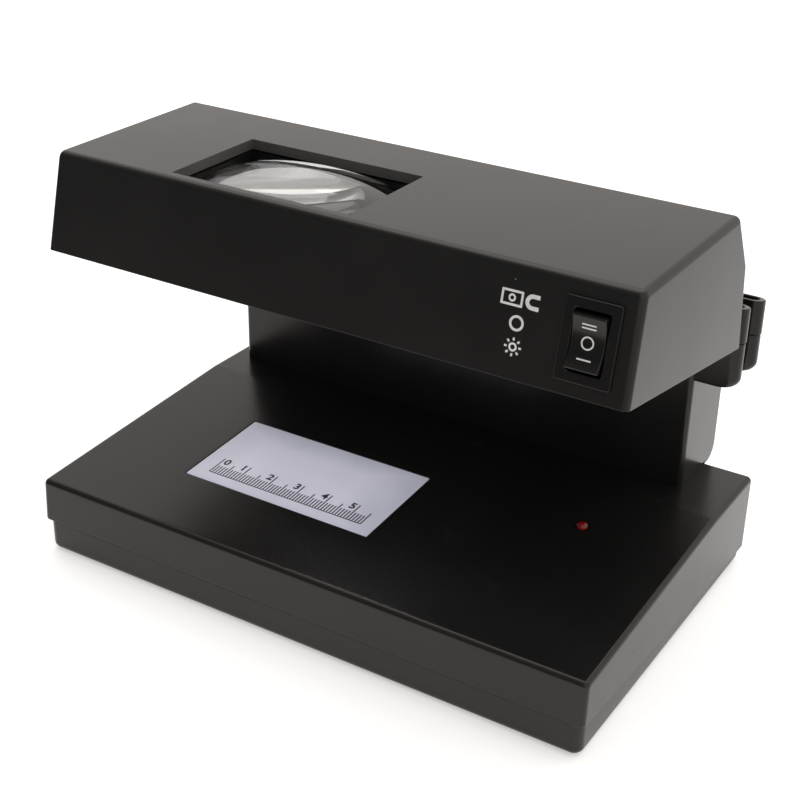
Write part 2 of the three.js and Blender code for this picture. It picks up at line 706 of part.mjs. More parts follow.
function headUnderplate() {
  const { recess, thickness, clearance, frontLean, rearLean, lampEnd, lampHalf } = underplate;
  const front = head.frontBottomY + wall + clearance;
  const rear = head.rearY - wall - clearance;
  const outline = [
    [front, undersideHeight(front) + recess],
    [rear, undersideHeight(rear) + recess],
    [rear - rearLean, undersideHeight(rear) + recess + thickness],
    [front + frontLean, undersideHeight(front) + recess + thickness],
  ];
  const across = [head.left + wall + clearance, head.right - wall - clearance];
  const plate = solid(prismX(roundedShape(outline), across));
  const tall = [head.rearZ - beyond, head.top];
  const viewOpening = box([viewing.left, viewing.right], [viewing.front, viewing.rear], tall);
  const lampOpening = box([tube.left + lampEnd, tube.right - lampEnd],
    [tube.y - lampHalf, tube.y + lampHalf], tall);
  const holes = headScrew.at.map((at) => cylinder('z', screw.hole, at, tall, 10));
  return cut(plate, viewOpening, lampOpening, ...holes);
}

function addHead() {
  place('head_shell', headShell(), blackShell);
  place('head_underplate', headUnderplate(), blackShell);
  const clear = seam + screw.headRadius * undersideFall;
  headScrew.at.forEach(([x, y], i) => {
    place(`head_screw_${i + 1}`, screwGeometry(headScrew.length), steel)
      .position.set(x, y, undersideHeight(y) + underplate.recess - clear);
  });
}

// ---------------------------------------------------------------- magnifier

const lensHalf = [
  (lensWindow.right - lensWindow.left) / 2 - lens.sideGap,
  (lensWindow.rear - lensWindow.front) / 2 - lens.frontGap,
];
const lensX = (lensWindow.left + lensWindow.right) / 2;
const lensY = (lensWindow.front + lensWindow.rear) / 2;

// Both faces are parts of spheres; the outline is a rectangle.
function lensGeometry() {
  const sag = (r) => lens.radius - Math.sqrt(lens.radius ** 2 - r ** 2);
  const centreHalf = lens.edgeHalf + sag(Math.hypot(...lensHalf));
  const blank = new THREE.BoxGeometry(2 * lensHalf[0], 2 * lensHalf[1], 2, 8, 6, 1);
  const position = blank.attributes.position;
  for (let i = 0; i < position.count; i += 1) {
    const half = centreHalf - sag(Math.hypot(position.getX(i), position.getY(i)));
    position.setZ(i, Math.sign(position.getZ(i)) * half);
  }
  return blank.translate(lensX, lensY, head.top - lens.below - centreHalf);
}

function lensFrameBody() {
  const { wall: rim, clearance, bottom, top, lip, floor } = lensFrame;
  const outline = (margin, z) => box(
    [lensX - lensHalf[0] - margin, lensX + lensHalf[0] + margin],
    [lensY - lensHalf[1] - margin, lensY + lensHalf[1] + margin],
    z,
  );
  return cut(
    outline(rim + clearance, [bottom, top]),
    outline(clearance, [bottom + floor, top + 1]),
    outline(-lip, [bottom - 1, top]),
  );
}

function addMagnifier() {
  place('magnifier_lens', solid(lensGeometry()), glassClear);
  place('lens_frame', lensFrameBody(), blackGloss);
}

// ---------------------------------------------------------------- ultraviolet lamp

// The tube turns about its own axis; its mesh frame has X along that axis.
const lampFrame = new THREE.Group();
lampFrame.position.set(0, tube.y, tube.z);
model.add(lampFrame);

function tubeCap(face, inward) {
  const [low, high] = [face, face + inward * tube.cap].sort((a, b) => a - b);
  const cap = cylinder('x', tube.radius + 0.1, [0, 0], [low, high], 24);
  const pinEnds = [face - inward * tube.pinLength, face + inward].sort((a, b) => a - b);
  const pins = [-1, 1].map((side) =>
    cylinder('x', tube.pinRadius, [side * tube.pinHalfSpacing, 0], pinEnds, 10));
  return join(cap, ...pins);
}

function tubeSocket(face, outward) {
  const far = face + outward * socket.thickness;
  const [low, high] = [face + outward * gap, far].sort((a, b) => a - b);
  const outline = rectangle([-socket.halfWidth, socket.halfWidth],
    [socket.bottom - tube.z, socket.top - tube.z], 3);
  const block = solid(prismX(outline, [low, high]));
  const bored = [face - outward, face + outward * (tube.pinLength + 0.5)].sort((a, b) => a - b);
  const bore = cylinder('x', socket.bore, [0, 0], bored, 16);
  const slot = box(bored, [-socket.slot, socket.slot], [socket.bottom - tube.z - 1, 0]);
  return cut(block, bore, slot);
}

function reflectorSheet() {
  const { radius, sheet, from, to, inset: margin } = reflector;
  const [start, end] = [from, to].map(THREE.MathUtils.degToRad);
  const shape = new THREE.Shape();
  shape.absarc(0, 0, radius + sheet, start, end, false);
  shape.absarc(0, 0, radius, end, start, true);
  shape.closePath();
  return solid(prismX(shape, [tube.left + margin, tube.right - margin], { arcSteps: 8 }));
}

function addLamp() {
  const glassEnds = [tube.left + tube.cap + seam, tube.right - tube.cap - seam];
  place('uv_tube', cylinder('x', tube.radius, [0, 0], glassEnds, 24), tubeGlass, lampFrame);
  place('tube_cap_left', tubeCap(tube.left, 1), aluminium, lampFrame);
  place('tube_cap_right', tubeCap(tube.right, -1), aluminium, lampFrame);
  place('tube_socket_left', tubeSocket(tube.left, -1), whitePlastic, lampFrame);
  place('tube_socket_right', tubeSocket(tube.right, 1), whitePlastic, lampFrame);
  place('lamp_reflector', reflectorSheet(), aluminium, lampFrame);
}

// ---------------------------------------------------------------- switch
// In the switch's frame X is to the right, Y goes into the head and Z is up the front face.

const centredSpan = (size) => [-size / 2, size / 2];

function switchBody() {
  const s = rockerSwitch;
  const backInset = 0.6;
  const face = rectangle(centredSpan(s.bezelWidth), centredSpan(s.bezelHeight), s.bezelCorner);
  const bezel = solid(prismY(face, [-s.proud, -s.lift], { bevel: 0.3 }));
  const bezelBack = box(centredSpan(s.bezelWidth - backInset), [-s.lift - 0.4, -s.lift],
    centredSpan(s.bezelHeight - backInset));
  const housing = box(centredSpan(s.bodyWidth), [-s.lift - 0.4, s.bodyDepth],
    centredSpan(s.bodyHeight));
  const mouth = box(centredSpan(s.mouthWidth), [-s.proud - 1, s.mouthDepth],
    centredSpan(s.mouthHeight));
  const pivotHole = cylinder('x', s.trunnionHole, [s.pivotDepth, 0], centredSpan(s.holeSpan), 16);
  return cut(join(bezel, bezelBack, housing), mouth, pivotHole);
}

// The rocker's origin is its pivot. Its face is a hollow arc between two raised ends, and behind
// the pivot it narrows to a keel.
function rockerBody() {
  const end = { height: 6.8, rise: 4 };
  const flank = { height: 7.1, shoulder: [3, 5], keel: [6.5, 1.2] };
  const dip = 2.1;
  const arcRadius = (end.height ** 2 + dip ** 2) / (2 * dip);
  const arcCentre = -end.rise + dip - arcRadius;
  const spread = Math.asin(end.height / arcRadius);
  const side = [[-end.rise, end.height], [0, flank.height], flank.shoulder, flank.keel];
  const shape = new THREE.Shape([
    ...side.map(([depth, height]) => new THREE.Vector2(depth, -height)),
    ...side.reverse().map(([depth, height]) => new THREE.Vector2(depth, height)),
  ]).absarc(arcCentre, 0, arcRadius, spread, -spread, true);
  const body = solid(prismX(shape, centredSpan(rockerSwitch.mouthWidth - 0.5),
    { bevel: 0.3, arcSteps: 5 }));
  const trunnions = cylinder('x', rockerSwitch.trunnion, [0, 0],
    centredSpan(rockerSwitch.trunnionSpan), 16);
  return join(body, trunnions);
}

function addSwitch() {
  place('switch_body', switchBody(), blackGloss, switchFrame);
  const rocker = place('rocker', rockerBody(), blackGloss, switchFrame);
  rocker.position.y = rockerSwitch.pivotDepth;
  const back = rockerSwitch.bodyDepth + 0.1;
  const blade = box(centredSpan(terminal.width), [back, back + terminal.length],
    centredSpan(terminal.thickness));
  [-1, 0, 1].forEach((row, i) => {
    const leg = place(`switch_terminal_${i + 1}`, blade, tin, switchFrame);
    leg.position.z = row * terminal.spacing;
  });
}

// ---------------------------------------------------------------- wiring

// From the control board up through the column, behind the lamp and down to the switch.
function addHarness() {
  const path = new THREE.CatmullRomCurve3([
    [60, 24, 10.5],
    [50, 36, 14],
    [46, 49, 23],
    [47, 51, 45],
    [50, 49, 72],
    [59, 45, 84],
    [66, 35, 87],
    [68, 30.4, 91],
    [68.5, 30.2, 99],
    [69, 28.7, 104],
    [70, 21, 108.5],
    [73, 0, 108.5],
    [76, -14, 106],
  ].map((point) => new THREE.Vector3(...point)), false, 'centripetal');
  const round = disc(cable.radius);
  place('wire_harness', solid(new THREE.ExtrudeGeometry(round,
    { extrudePath: path, steps: 36, curveSegments: 3, bevelEnabled: false })), wire);
}

addBase();
addWatermarkPanel();
addIndicator();
addControlBoard();
addColumn();
addHead();
addMagnifier();
addLamp();
addSwitch();
addHarness();

const frontmost = base.front - base.frontLean;
const rearmost = column.rear + inlet.proud;
model.position.set(-(head.left + base.side) / 2, -(frontmost + rearmost) / 2, 0);

export default model;
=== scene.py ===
import json
import math

import bmesh
import bpy
from mathutils import Matrix, Vector

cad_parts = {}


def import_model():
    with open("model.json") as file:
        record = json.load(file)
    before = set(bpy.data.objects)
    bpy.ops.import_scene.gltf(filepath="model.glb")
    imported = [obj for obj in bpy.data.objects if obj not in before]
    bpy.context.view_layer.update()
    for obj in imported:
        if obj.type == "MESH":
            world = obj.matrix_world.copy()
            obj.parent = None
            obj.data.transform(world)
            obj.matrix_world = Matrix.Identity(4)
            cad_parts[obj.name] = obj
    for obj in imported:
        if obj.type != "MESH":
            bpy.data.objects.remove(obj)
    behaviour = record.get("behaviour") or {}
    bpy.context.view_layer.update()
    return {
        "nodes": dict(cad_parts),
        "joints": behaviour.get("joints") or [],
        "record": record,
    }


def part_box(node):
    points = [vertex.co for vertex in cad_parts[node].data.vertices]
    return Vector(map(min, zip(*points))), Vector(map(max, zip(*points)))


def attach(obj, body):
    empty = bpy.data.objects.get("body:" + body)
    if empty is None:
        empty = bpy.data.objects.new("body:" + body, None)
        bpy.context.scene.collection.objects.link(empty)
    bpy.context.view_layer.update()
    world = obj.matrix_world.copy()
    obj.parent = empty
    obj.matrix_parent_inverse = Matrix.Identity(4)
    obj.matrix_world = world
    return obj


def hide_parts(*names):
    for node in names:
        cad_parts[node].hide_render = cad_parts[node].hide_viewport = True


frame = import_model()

mm = 0.001
nodes = frame["nodes"]

# ---- reading the frame


def middle_of(node):
    low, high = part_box(node)
    return (low + high) / 2


def places(stem, axes=(0, 1)):
    """Where the four numbered copies of a CAD node are, across two axes."""
    middles = [middle_of(f"{stem}_{number}") for number in range(1, 5)]
    return [(middle[axes[0]], middle[axes[1]]) for middle in middles]


def plane(node, toward):
    """A point on the outermost large flat face of a CAD node that looks toward a way, and its normal."""
    toward = Vector(toward).normalized()
    groups = {}
    for face in nodes[node].data.polygons:
        if face.normal.dot(toward) > 0.9995:
            reach = round(face.normal.dot(face.center) / mm)
            area, at, normal = groups.get(reach, (0, Vector(), Vector()))
            groups[reach] = (area + face.area, at + face.center * face.area, normal + face.normal * face.area)
    largest = max(area for area, _, _ in groups.values())
    area, at, normal = groups[max(reach for reach in groups if groups[reach][0] > 0.1 * largest)]
    return at / area, normal.normalized()


def meet(first, second):
    """Where two planes that run along X cross, as (y, z)."""
    (p, n), (q, m) = first, second
    across = n.y * m.z - n.z * m.y
    a, b = n.dot(p), m.dot(q)
    return (a * m.z - b * n.z) / across, (n.y * b - m.y * a) / across


def height_on(surface, y):
    point, normal = surface
    return point.z - (y - point.y) * normal.y / normal.z


def surface_frame(x, y, surface):
    """A frame on a plane that runs along X: its X is to the right, Y up the plane and Z out of it."""
    point, normal = surface
    along = Vector((0, normal.z, -normal.y)) * (1 if normal.z > 0.5 else math.copysign(1, -normal.y))
    at = Vector((x, y, height_on(surface, y)))
    axes = Matrix((Vector((1, 0, 0)), along, normal)).transposed().to_4x4()
    return Matrix.Translation(at) @ axes


# ---- outlines


def rounded(corners, inset=0.0, steps=5):
    """A counter-clockwise outline of (u, v, radius) corners, moved inwards by inset."""
    count = len(corners)
    sides = []
    for i, (u, v, _) in enumerate(corners):
        far = corners[(i + 1) % count]
        along = Vector((far[0] - u, far[1] - v)).normalized()
        sides.append((along, Vector((u, v)) + Vector((-along.y, along.x)) * inset))
    outline = []
    for i, (_, _, radius) in enumerate(corners):
        before, after = sides[i - 1], sides[i]
        turn = before[0].cross(after[0])
        reach = (after[1] - before[1]).cross(after[0]) / turn
        corner = before[1] + before[0] * reach
        if radius == 0:
            outline.append(corner)
            continue
        size = max(radius - math.copysign(inset, turn), 0.02 * mm)
        half = math.atan2(abs(turn), before[0].dot(after[0])) / 2
        inward = Vector((-before[0].y, before[0].x)) * math.copysign(1, turn)
        centre = corner - before[0] * size * math.tan(half) + inward * size
        spoke = -inward * size
        for step in range(steps + 1):
            angle = math.copysign(2 * half * step / steps, turn)
            turned_spoke = Vector((
                spoke.x * math.cos(angle) - spoke.y * math.sin(angle),
                spoke.x * math.sin(angle) + spoke.y * math.cos(angle),
            ))
            outline.append(centre + turned_spoke)
    return outline


def angles(start, end, steps):
    """Evenly spaced angles, both ends included."""
    return [start + (end - start) * i / steps for i in range(steps + 1)]


def arc(centre, radius, start, end, steps=20):
    return [Vector((centre[0] + radius * math.cos(t), centre[1] + radius * math.sin(t)))
            for t in angles(start, end, steps)]


def rectangle(u, v, radius=0.0):
    return [(u[0], v[0], radius), (u[1], v[0], radius), (u[1], v[1], radius), (u[0], v[1], radius)]


def about(u, v, radius=0.0):
    """A rectangle about the origin, of half sizes u and v."""
    return rectangle((-u, u), (-v, v), radius)


def around(low, high, axes=(0, 1), grow=0.0, radius=0.0):
    """The rectangle of a box seen along one axis, grown on all sides."""
    u, v = axes
    return rectangle((low[u] - grow, high[u] + grow), (low[v] - grow, high[v] + grow), radius)


def circle(radius, centre=(0, 0), sides=32):
    return arc(centre, radius, 0, 2 * math.pi, sides)[:-1]


def ribbon(points, width):
    """The outline of a flat stroke of even width along an open path."""
    points = [Vector(p) for p in points]
    sides = ([], [])
    for i, here in enumerate(points):
        before = (here - points[i - 1]).normalized() if i else None
        after = (points[i + 1] - here).normalized() if i + 1 < len(points) else None
        along = ((before or after) + (after or before)).normalized()
        out = Vector((along.y, -along.x)) * width / 2 / along.dot(after or before)
        sides[0].append(here + out)
        sides[1].append(here - out)
    return sides[0] + sides[1][::-1]


# ---- solids


def skin(rings, closed=False):
    """A mesh through rings of points. Rings of one point close a tip; closed joins the last to the first."""
    mesh = bmesh.new()
    grid = [[mesh.verts.new(point) for point in ring] for ring in rings]
    pairs = list(zip(grid, grid[1:])) + ([(grid[-1], grid[0])] if closed else [])
    for low, high in pairs:
        count = max(len(low), len(high))
        for i in range(count):
            j = (i + 1) % count
            if len(low) == 1:
                mesh.faces.new((low[0], high[j], high[i]))
            elif len(high) == 1:
                mesh.faces.new((low[i], low[j], high[0]))
            else:
                mesh.faces.new((low[i], low[j], high[j], high[i]))
    if not closed:
        for ring in (grid[0], grid[-1]):
            if len(ring) > 1:
                mesh.faces.new(ring)
    bmesh.ops.recalc_face_normals(mesh, faces=mesh.faces)
    return mesh


def add_object(name, data):
    made = bpy.data.objects.new(name, data)
    bpy.context.scene.collection.objects.link(made)
    return made


def as_object(name, mesh):
    data = bpy.data.meshes.new(name)
    mesh.to_mesh(data)
    mesh.free()
    return add_object(name, data)


def quarter(edge, steps=4):
    """(inset, depth) along a quarter round, from a face's rim into the side."""
    return [(edge * (1 - math.sin(t)), edge * (1 - math.cos(t))) for t in angles(0, math.pi / 2, steps)]


def levels(low, high, low_edge=0.0, high_edge=0.0):
    """(inset, height) from a low face to a high one, with rounded rims."""
    start = [(i, low + d) for i, d in quarter(low_edge)] if low_edge else [(0, low)]
    end = [(i, high - d) for i, d in reversed(quarter(high_edge))] if high_edge else [(0, high)]
    return start + end


def flare(surface, depth, edge, above=1 * mm):
    """Levels of a cutter that leaves a rounded rim round its mouth at height surface."""
    rim = [(-edge * (1 - math.cos(t)), surface - edge + edge * math.sin(t))
           for t in angles(0, math.pi / 2, 3)]
    return [(0, surface - depth)] + rim + [(-edge, surface + above)]


def loft(name, outline_at, heights, place):
    """A solid whose outline at each (inset, height) is outline_at(inset), put where place says."""
    rings = [[place(p[0], p[1], height) for p in outline_at(inset)] for inset, height in heights]
    return as_object(name, skin(rings))


def on(matrix):
    return lambda u, v, height: matrix @ Vector((u, v, height))


upright = on(Matrix.Identity(4))
rearward = lambda u, v, height: Vector((u, height, v))
sideways = lambda u, v, height: Vector((height, u, v))


def plate(name, corners, heights, place=upright, steps=5):
    return loft(name, lambda inset: rounded(corners, inset, steps), heights, place)


def round_bar(name, radius, heights, place=upright, centre=(0, 0), sides=32):
    return loft(name, lambda inset: circle(radius - inset, centre, sides), heights, place)


def lathe(name, profile, place=upright, sides=40):
    """A solid of (radius, height) points turned about the height axis."""
    rings = []
    for radius, height in profile:
        points = [Vector((0, 0))] if radius == 0 else circle(radius, sides=sides)
        rings.append([place(p.x, p.y, height) for p in points])
    return as_object(name, skin(rings))


def slab(height_at, low, high):
    """Everything between two heights over a plane that runs along X."""
    front, rear = -0.2, 0.2
    corners = [(front, height_at(front) + low, 0), (rear, height_at(rear) + low, 0),
               (rear, height_at(rear) + high, 0), (front, height_at(front) + high, 0)]
    return plate("slab", corners, levels(-0.3, 0.3), sideways)


def bake(target):
    graph = bpy.context.evaluated_depsgraph_get()
    data = bpy.data.meshes.new_from_object(target.evaluated_get(graph))
    target.modifiers.clear()
    target.data = data
    return target


def combine(target, tools, operation):
    for tool in tools:
        modifier = target.modifiers.new(operation, "BOOLEAN")
        modifier.operation = operation
        modifier.solver = "EXACT"
        modifier.object = tool
    bake(target)
    for tool in tools:
        bpy.data.objects.remove(tool)
    return target


def cut(target, *tools):
    return combine(target, tools, "DIFFERENCE")


def join(target, *tools):
    return combine(target, tools, "UNION")


def soften(target, width, where):
    """Rounds the sharp edges whose two ends both pass where(point)."""
    mesh = bmesh.new()
    mesh.from_mesh(target.data)
    sharp = [edge for edge in mesh.edges
             if len(edge.link_faces) == 2 and edge.calc_face_angle() > math.radians(40)
             and all(where(v.co) for v in edge.verts)]
    bmesh.ops.bevel(mesh, geom=sharp, offset=width, segments=2, profile=0.5,
                    affect="EDGES", clamp_overlap=True)
    mesh.to_mesh(target.data)
    mesh.free()
    return target


def merge(name, parts):
    """Several separate solids as one piece, with every face turned outwards."""
    mesh = bmesh.new()
    for part in parts:
        mesh.from_mesh(part.data)
        bpy.data.objects.remove(part)
    bmesh.ops.remove_doubles(mesh, verts=mesh.verts, dist=0.001 * mm)
    bmesh.ops.recalc_face_normals(mesh, faces=mesh.faces)
    return as_object(name, mesh)


def show(piece, slot, body="root", replaces=(), material=None, smooth=34):
    """Finishes a piece: its material, its shading, the body it rides on and the CAD nodes it stands for."""
    piece.data.materials.clear()
    piece.data.materials.append(material or looks[slot])
    for face in piece.data.polygons:
        face.use_smooth = True
    piece.data.set_sharp_from_angle(angle=math.radians(smooth))
    weigh = piece.modifiers.new("flat faces stay flat", "WEIGHTED_NORMAL")
    weigh.keep_sharp = True
    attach(piece, body)
    if replaces:
        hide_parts(*replaces)
    return piece


# ---- materials


class Nodes:
    """Adds nodes to a new material, or a new world, and wires them by name."""

    def __init__(self, name, kind="materials", shader="Principled BSDF"):
        self.made = getattr(bpy.data, kind).new(name)
        self.made.use_nodes = True
        self.tree = self.made.node_tree
        self.shader = self.tree.nodes[shader]
        self.coordinates = self.add("ShaderNodeTexCoord").outputs
        self.place = self.coordinates["Object"]

    def add(self, kind, inputs=None, **settings):
        node = self.tree.nodes.new(kind)
        for key, value in settings.items():
            setattr(node, key, value)
        for key, value in (inputs or {}).items():
            self.feed(node.inputs[key], value)
        return node

    def feed(self, socket, value):
        if isinstance(value, bpy.types.NodeSocket):
            self.tree.links.new(value, socket)
        else:
            socket.default_value = value

    def set(self, **inputs):
        """Sets the shader's inputs and gives back the material or world."""
        for key, value in inputs.items():
            self.feed(self.shader.inputs[key.replace("_", " ")], value)
        return self.made

    def math(self, operation, *values):
        node = self.add("ShaderNodeMath", operation=operation)
        for socket, value in zip(node.inputs, values):
            self.feed(socket, value)
        return node.outputs[0]

    def noise(self, size, detail=2.0, roughness=0.5, vector=None):
        """Noise of 0 to 1 whose features are about size metres across."""
        node = self.add("ShaderNodeTexNoise", {
            "Vector": vector or self.place, "Scale": 1 / size, "Detail": detail, "Roughness": roughness,
        })
        return node.outputs["Fac"]

    def span(self, value, low, high, to_low=0.0, to_high=1.0):
        node = self.add("ShaderNodeMapRange", {
            "Value": value, "From Min": low, "From Max": high, "To Min": to_low, "To Max": to_high,
        })
        return node.outputs["Result"]

    def mix(self, amount, first, second):
        node = self.add("ShaderNodeMix", data_type="RGBA")
        self.feed(node.inputs["Factor"], amount)
        for key, value in (("A", first), ("B", second)):
            socket = [s for s in node.inputs if s.name == key and s.type == "RGBA"][0]
            self.feed(socket, value)
        return [s for s in node.outputs if s.type == "RGBA"][0]

    def bump(self, height, strength, distance):
        inputs = {"Height": height, "Strength": strength, "Distance": distance}
        return self.add("ShaderNodeBump", inputs).outputs["Normal"]

    def specks(self, spacing, radius, share):
        """1 on small round specks, of which only a share of the cells holds one."""
        cells = self.add("ShaderNodeTexVoronoi", {
            "Vector": self.place, "Scale": 1 / spacing, "Randomness": 1.0,
        })
        near = self.math("LESS_THAN", cells.outputs["Distance"], radius / spacing)
        picked = self.add("ShaderNodeSeparateColor", {"Color": cells.outputs["Color"]})
        chosen = self.math("LESS_THAN", picked.outputs["Red"], share)
        return self.math("MULTIPLY", near, chosen)


def grey(value, warm=0.0):
    return (value * (1 + warm), value, value * (1 - warm), 1.0)


def moulded(name, tone, roughness, grain=0.25 * mm, depth=0.012 * mm, dust=0.0, warm=0.02, smear=0.06):
    """Injection-moulded plastic: fine grain, patches of more and less gloss, and a little dust."""
    n = Nodes(name)
    fine = n.noise(grain, 3.0, 0.6)
    broad = n.noise(38 * mm, 3.0, 0.55)
    faint = n.noise(9 * mm, 2.0, 0.5)
    patches = n.math("ADD", n.math("MULTIPLY", broad, 0.7), n.math("MULTIPLY", faint, 0.3))
    shine = n.span(patches, 0.3, 0.7, roughness - smear / 2, roughness + smear / 2)
    colour = n.mix(n.span(patches, 0.3, 0.7), grey(tone * 0.85, warm), grey(tone * 1.2, warm))
    if dust:
        specks = n.specks(7 * mm, 0.16 * mm, dust)
        colour = n.mix(specks, colour, grey(0.35))
        shine = n.math("MAXIMUM", shine, n.math("MULTIPLY", specks, 0.8))
    return n.set(Base_Color=colour, Roughness=shine, IOR=1.5, Specular_IOR_Level=0.38,
                 Specular_Tint=(1, 0.955, 0.92, 1), Normal=n.bump(fine, 0.35, depth))


def rubber_material():
    n = Nodes("rubber")
    worn = n.noise(3 * mm, 4.0, 0.6)
    return n.set(Base_Color=n.mix(n.span(worn, 0.35, 0.7), grey(0.012), grey(0.03)), Roughness=0.8,
                 Normal=n.bump(n.noise(0.4 * mm), 0.5, 0.05 * mm))


def metal(name, tone, roughness, warm=0.0, streak=(1, 1, 1)):
    """Bare metal with a drawn or rolled grain along one axis and faint tarnish."""
    n = Nodes(name)
    stretched = n.add("ShaderNodeMapping", {"Vector": n.place, "Scale": streak}).outputs["Vector"]
    grain = n.noise(0.3 * mm, 3.0, 0.6, stretched)
    stain = n.noise(6 * mm, 4.0, 0.6)
    colour = n.mix(n.span(stain, 0.3, 0.75), grey(tone, warm), grey(tone * 0.72, warm * 1.5))
    shine = n.span(grain, 0.3, 0.7, roughness * 0.8, roughness * 1.25)
    return n.set(Base_Color=colour, Metallic=1.0, Roughness=shine, Normal=n.bump(grain, 0.4, 0.01 * mm))


def milk_acrylic():
    """The lit panel's plate: milky lavender-white, with painted shade that greys it towards its rims, most at
    the rear and right, and a faint painted glow in its own colour.
    """
    n = Nodes("milk_acrylic")
    low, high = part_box("watermark_panel")
    half = (high - low) / 2
    parts = n.add("ShaderNodeSeparateXYZ", {"Vector": n.place})
    across = n.math("DIVIDE", n.math("SUBTRACT", parts.outputs["X"], low.x + half.x), half.x)
    along = n.math("DIVIDE", n.math("SUBTRACT", parts.outputs["Y"], low.y + half.y), half.y)
    # Painted shade: the plate greys towards its rims, most at the rear and right; the cloud added to it is
    # random tone.
    rim = n.math("MAXIMUM", n.math("ADD", n.math("ABSOLUTE", across), n.math("MULTIPLY", across, 0.12)),
                 n.math("ADD", n.math("ABSOLUTE", along), n.math("MULTIPLY", along, 0.1)))
    cloud = n.noise(16 * mm, 2.0, 0.5)
    painted_shade_and_cloud = n.math("ADD", n.span(rim, 0.55, 1.1, 0.0, 0.75), n.span(cloud, 0.3, 0.7, 0.0, 0.25))
    colour = n.mix(painted_shade_and_cloud, (0.72, 0.71, 0.83, 1), (0.50, 0.51, 0.61, 1))
    # The plate glows faintly in its own colour: painted light, with no lamp behind it.
    return n.set(Base_Color=colour, Roughness=0.36, IOR=1.49, Subsurface_Weight=0.25,
                 Emission_Color=colour, Emission_Strength=0.32,
                 Subsurface_Radius=(0.8 * mm, 0.8 * mm, 0.9 * mm), Subsurface_Scale=1.0,
                 Normal=n.bump(n.noise(0.5 * mm), 0.15, 0.01 * mm))


def white_moulding(name, tone):
    n = Nodes(name)
    cloud = n.noise(7 * mm, 3.0, 0.6)
    colour = n.mix(n.span(cloud, 0.3, 0.7), (tone, tone * 0.985, tone * 0.94, 1),
                   (tone * 0.9, tone * 0.88, tone * 0.82, 1))
    return n.set(Base_Color=colour, Roughness=n.span(cloud, 0.3, 0.7, 0.4, 0.55), IOR=1.5,
                 Normal=n.bump(n.noise(0.35 * mm), 0.3, 0.02 * mm))


def lens_acrylic():
    """Clear moulding that light sources still shine through, with faint ripples and dust."""
    n = Nodes("lens_acrylic")
    tint = (0.97, 0.985, 0.98, 1)
    dust = n.specks(4 * mm, 0.09 * mm, 0.12)
    ripple = n.noise(9 * mm, 2.0, 0.5)
    shine = n.math("MAXIMUM", n.math("MULTIPLY", dust, 0.6), 0.01)
    ray = n.add("ShaderNodeLightPath")
    passing = n.add("ShaderNodeBsdfTransparent", {"Color": tint})
    both = n.add("ShaderNodeMixShader", {
        0: ray.outputs["Is Shadow Ray"], 1: n.shader.outputs[0], 2: passing.outputs[0],
    })
    n.feed(n.tree.nodes["Material Output"].inputs["Surface"], both.outputs[0])
    return n.set(Base_Color=tint, Roughness=shine, IOR=1.62, Transmission_Weight=1.0,
                 Normal=n.bump(ripple, 0.2, 0.02 * mm))


def ink(name, colour, roughness=0.5):
    """Printed ink, a little uneven."""
    n = Nodes(name)
    uneven = n.noise(0.8 * mm, 3.0, 0.6)
    thin = tuple(value * 0.8 for value in colour[:3]) + (1,)
    return n.set(Base_Color=n.mix(n.span(uneven, 0.35, 0.7), colour, thin), Roughness=roughness,
                 Normal=n.bump(uneven, 0.2, 0.01 * mm))


def circuit_material():
    n = Nodes("circuit_board")
    weave = n.add("ShaderNodeTexChecker", {"Vector": n.place, "Scale": 900.0})
    tracks = n.add("ShaderNodeTexBrick", {"Vector": n.place, "Scale": 140.0, "Mortar Size": 0.03})
    board = n.mix(n.math("MULTIPLY", weave.outputs["Fac"], 0.3), (0.02, 0.12, 0.05, 1), (0.03, 0.17, 0.07, 1))
    colour = n.mix(tracks.outputs["Fac"], board, (0.07, 0.3, 0.13, 1))
    return n.set(Base_Color=colour, Roughness=0.35, Normal=n.bump(tracks.outputs["Fac"], 0.4, 0.03 * mm))


def varnished_material():
    n = Nodes("varnished_core")
    sheets = n.add("ShaderNodeTexWave", {"Vector": n.place, "Scale": 900.0, "Distortion": 0.4},
                   bands_direction="Y")
    colour = n.mix(sheets.outputs["Fac"], grey(0.03, 0.15), grey(0.09, 0.2))
    return n.set(Base_Color=colour, Roughness=0.45, Normal=n.bump(sheets.outputs["Fac"], 0.5, 0.05 * mm))


def sleeve_material():
    n = Nodes("wire_sleeve")
    braid = n.add("ShaderNodeTexWave", {"Vector": n.place, "Scale": 500.0, "Distortion": 1.0},
                  bands_direction="DIAGONAL")
    return n.set(Base_Color=n.mix(braid.outputs["Fac"], grey(0.015), grey(0.05)), Roughness=0.55,
                 Normal=n.bump(braid.outputs["Fac"], 0.5, 0.08 * mm))


def lamp_glass_material():
    """Lamp glass with its powder coat inside: off-white, a touch violet and a little cloudy."""
    n = Nodes("lamp_glass")
    powder = n.noise(5 * mm, 3.0, 0.6)
    colour = n.mix(n.span(powder, 0.3, 0.7), (0.78, 0.76, 0.80, 1), (0.66, 0.64, 0.70, 1))
    return n.set(Base_Color=colour, Roughness=0.25, IOR=1.5, Coat_Weight=1.0, Coat_Roughness=0.03,
                 Normal=n.bump(powder, 0.1, 0.02 * mm))


def red_resin():
    """Clear red resin, with painted shade that darkens it towards its rim as its surface turns away from
    view.
    """
    n = Nodes("red_resin")
    depth = n.noise(0.8 * mm, 2.0, 0.5)
    colour = n.mix(n.span(depth, 0.35, 0.65), (0.42, 0.006, 0.008, 1), (0.16, 0.002, 0.003, 1))
    # Painted shade: the colour goes near black where the dome turns away from view.
    rim = n.span(n.add("ShaderNodeLayerWeight", {"Blend": 0.4}).outputs["Facing"], 0.15, 0.55)
    colour = n.mix(rim, colour, (0.012, 0.001, 0.001, 1))
    return n.set(Base_Color=colour, Roughness=0.06, IOR=1.5, Transmission_Weight=0.2,
                 Normal=n.bump(depth, 0.2, 0.05 * mm))


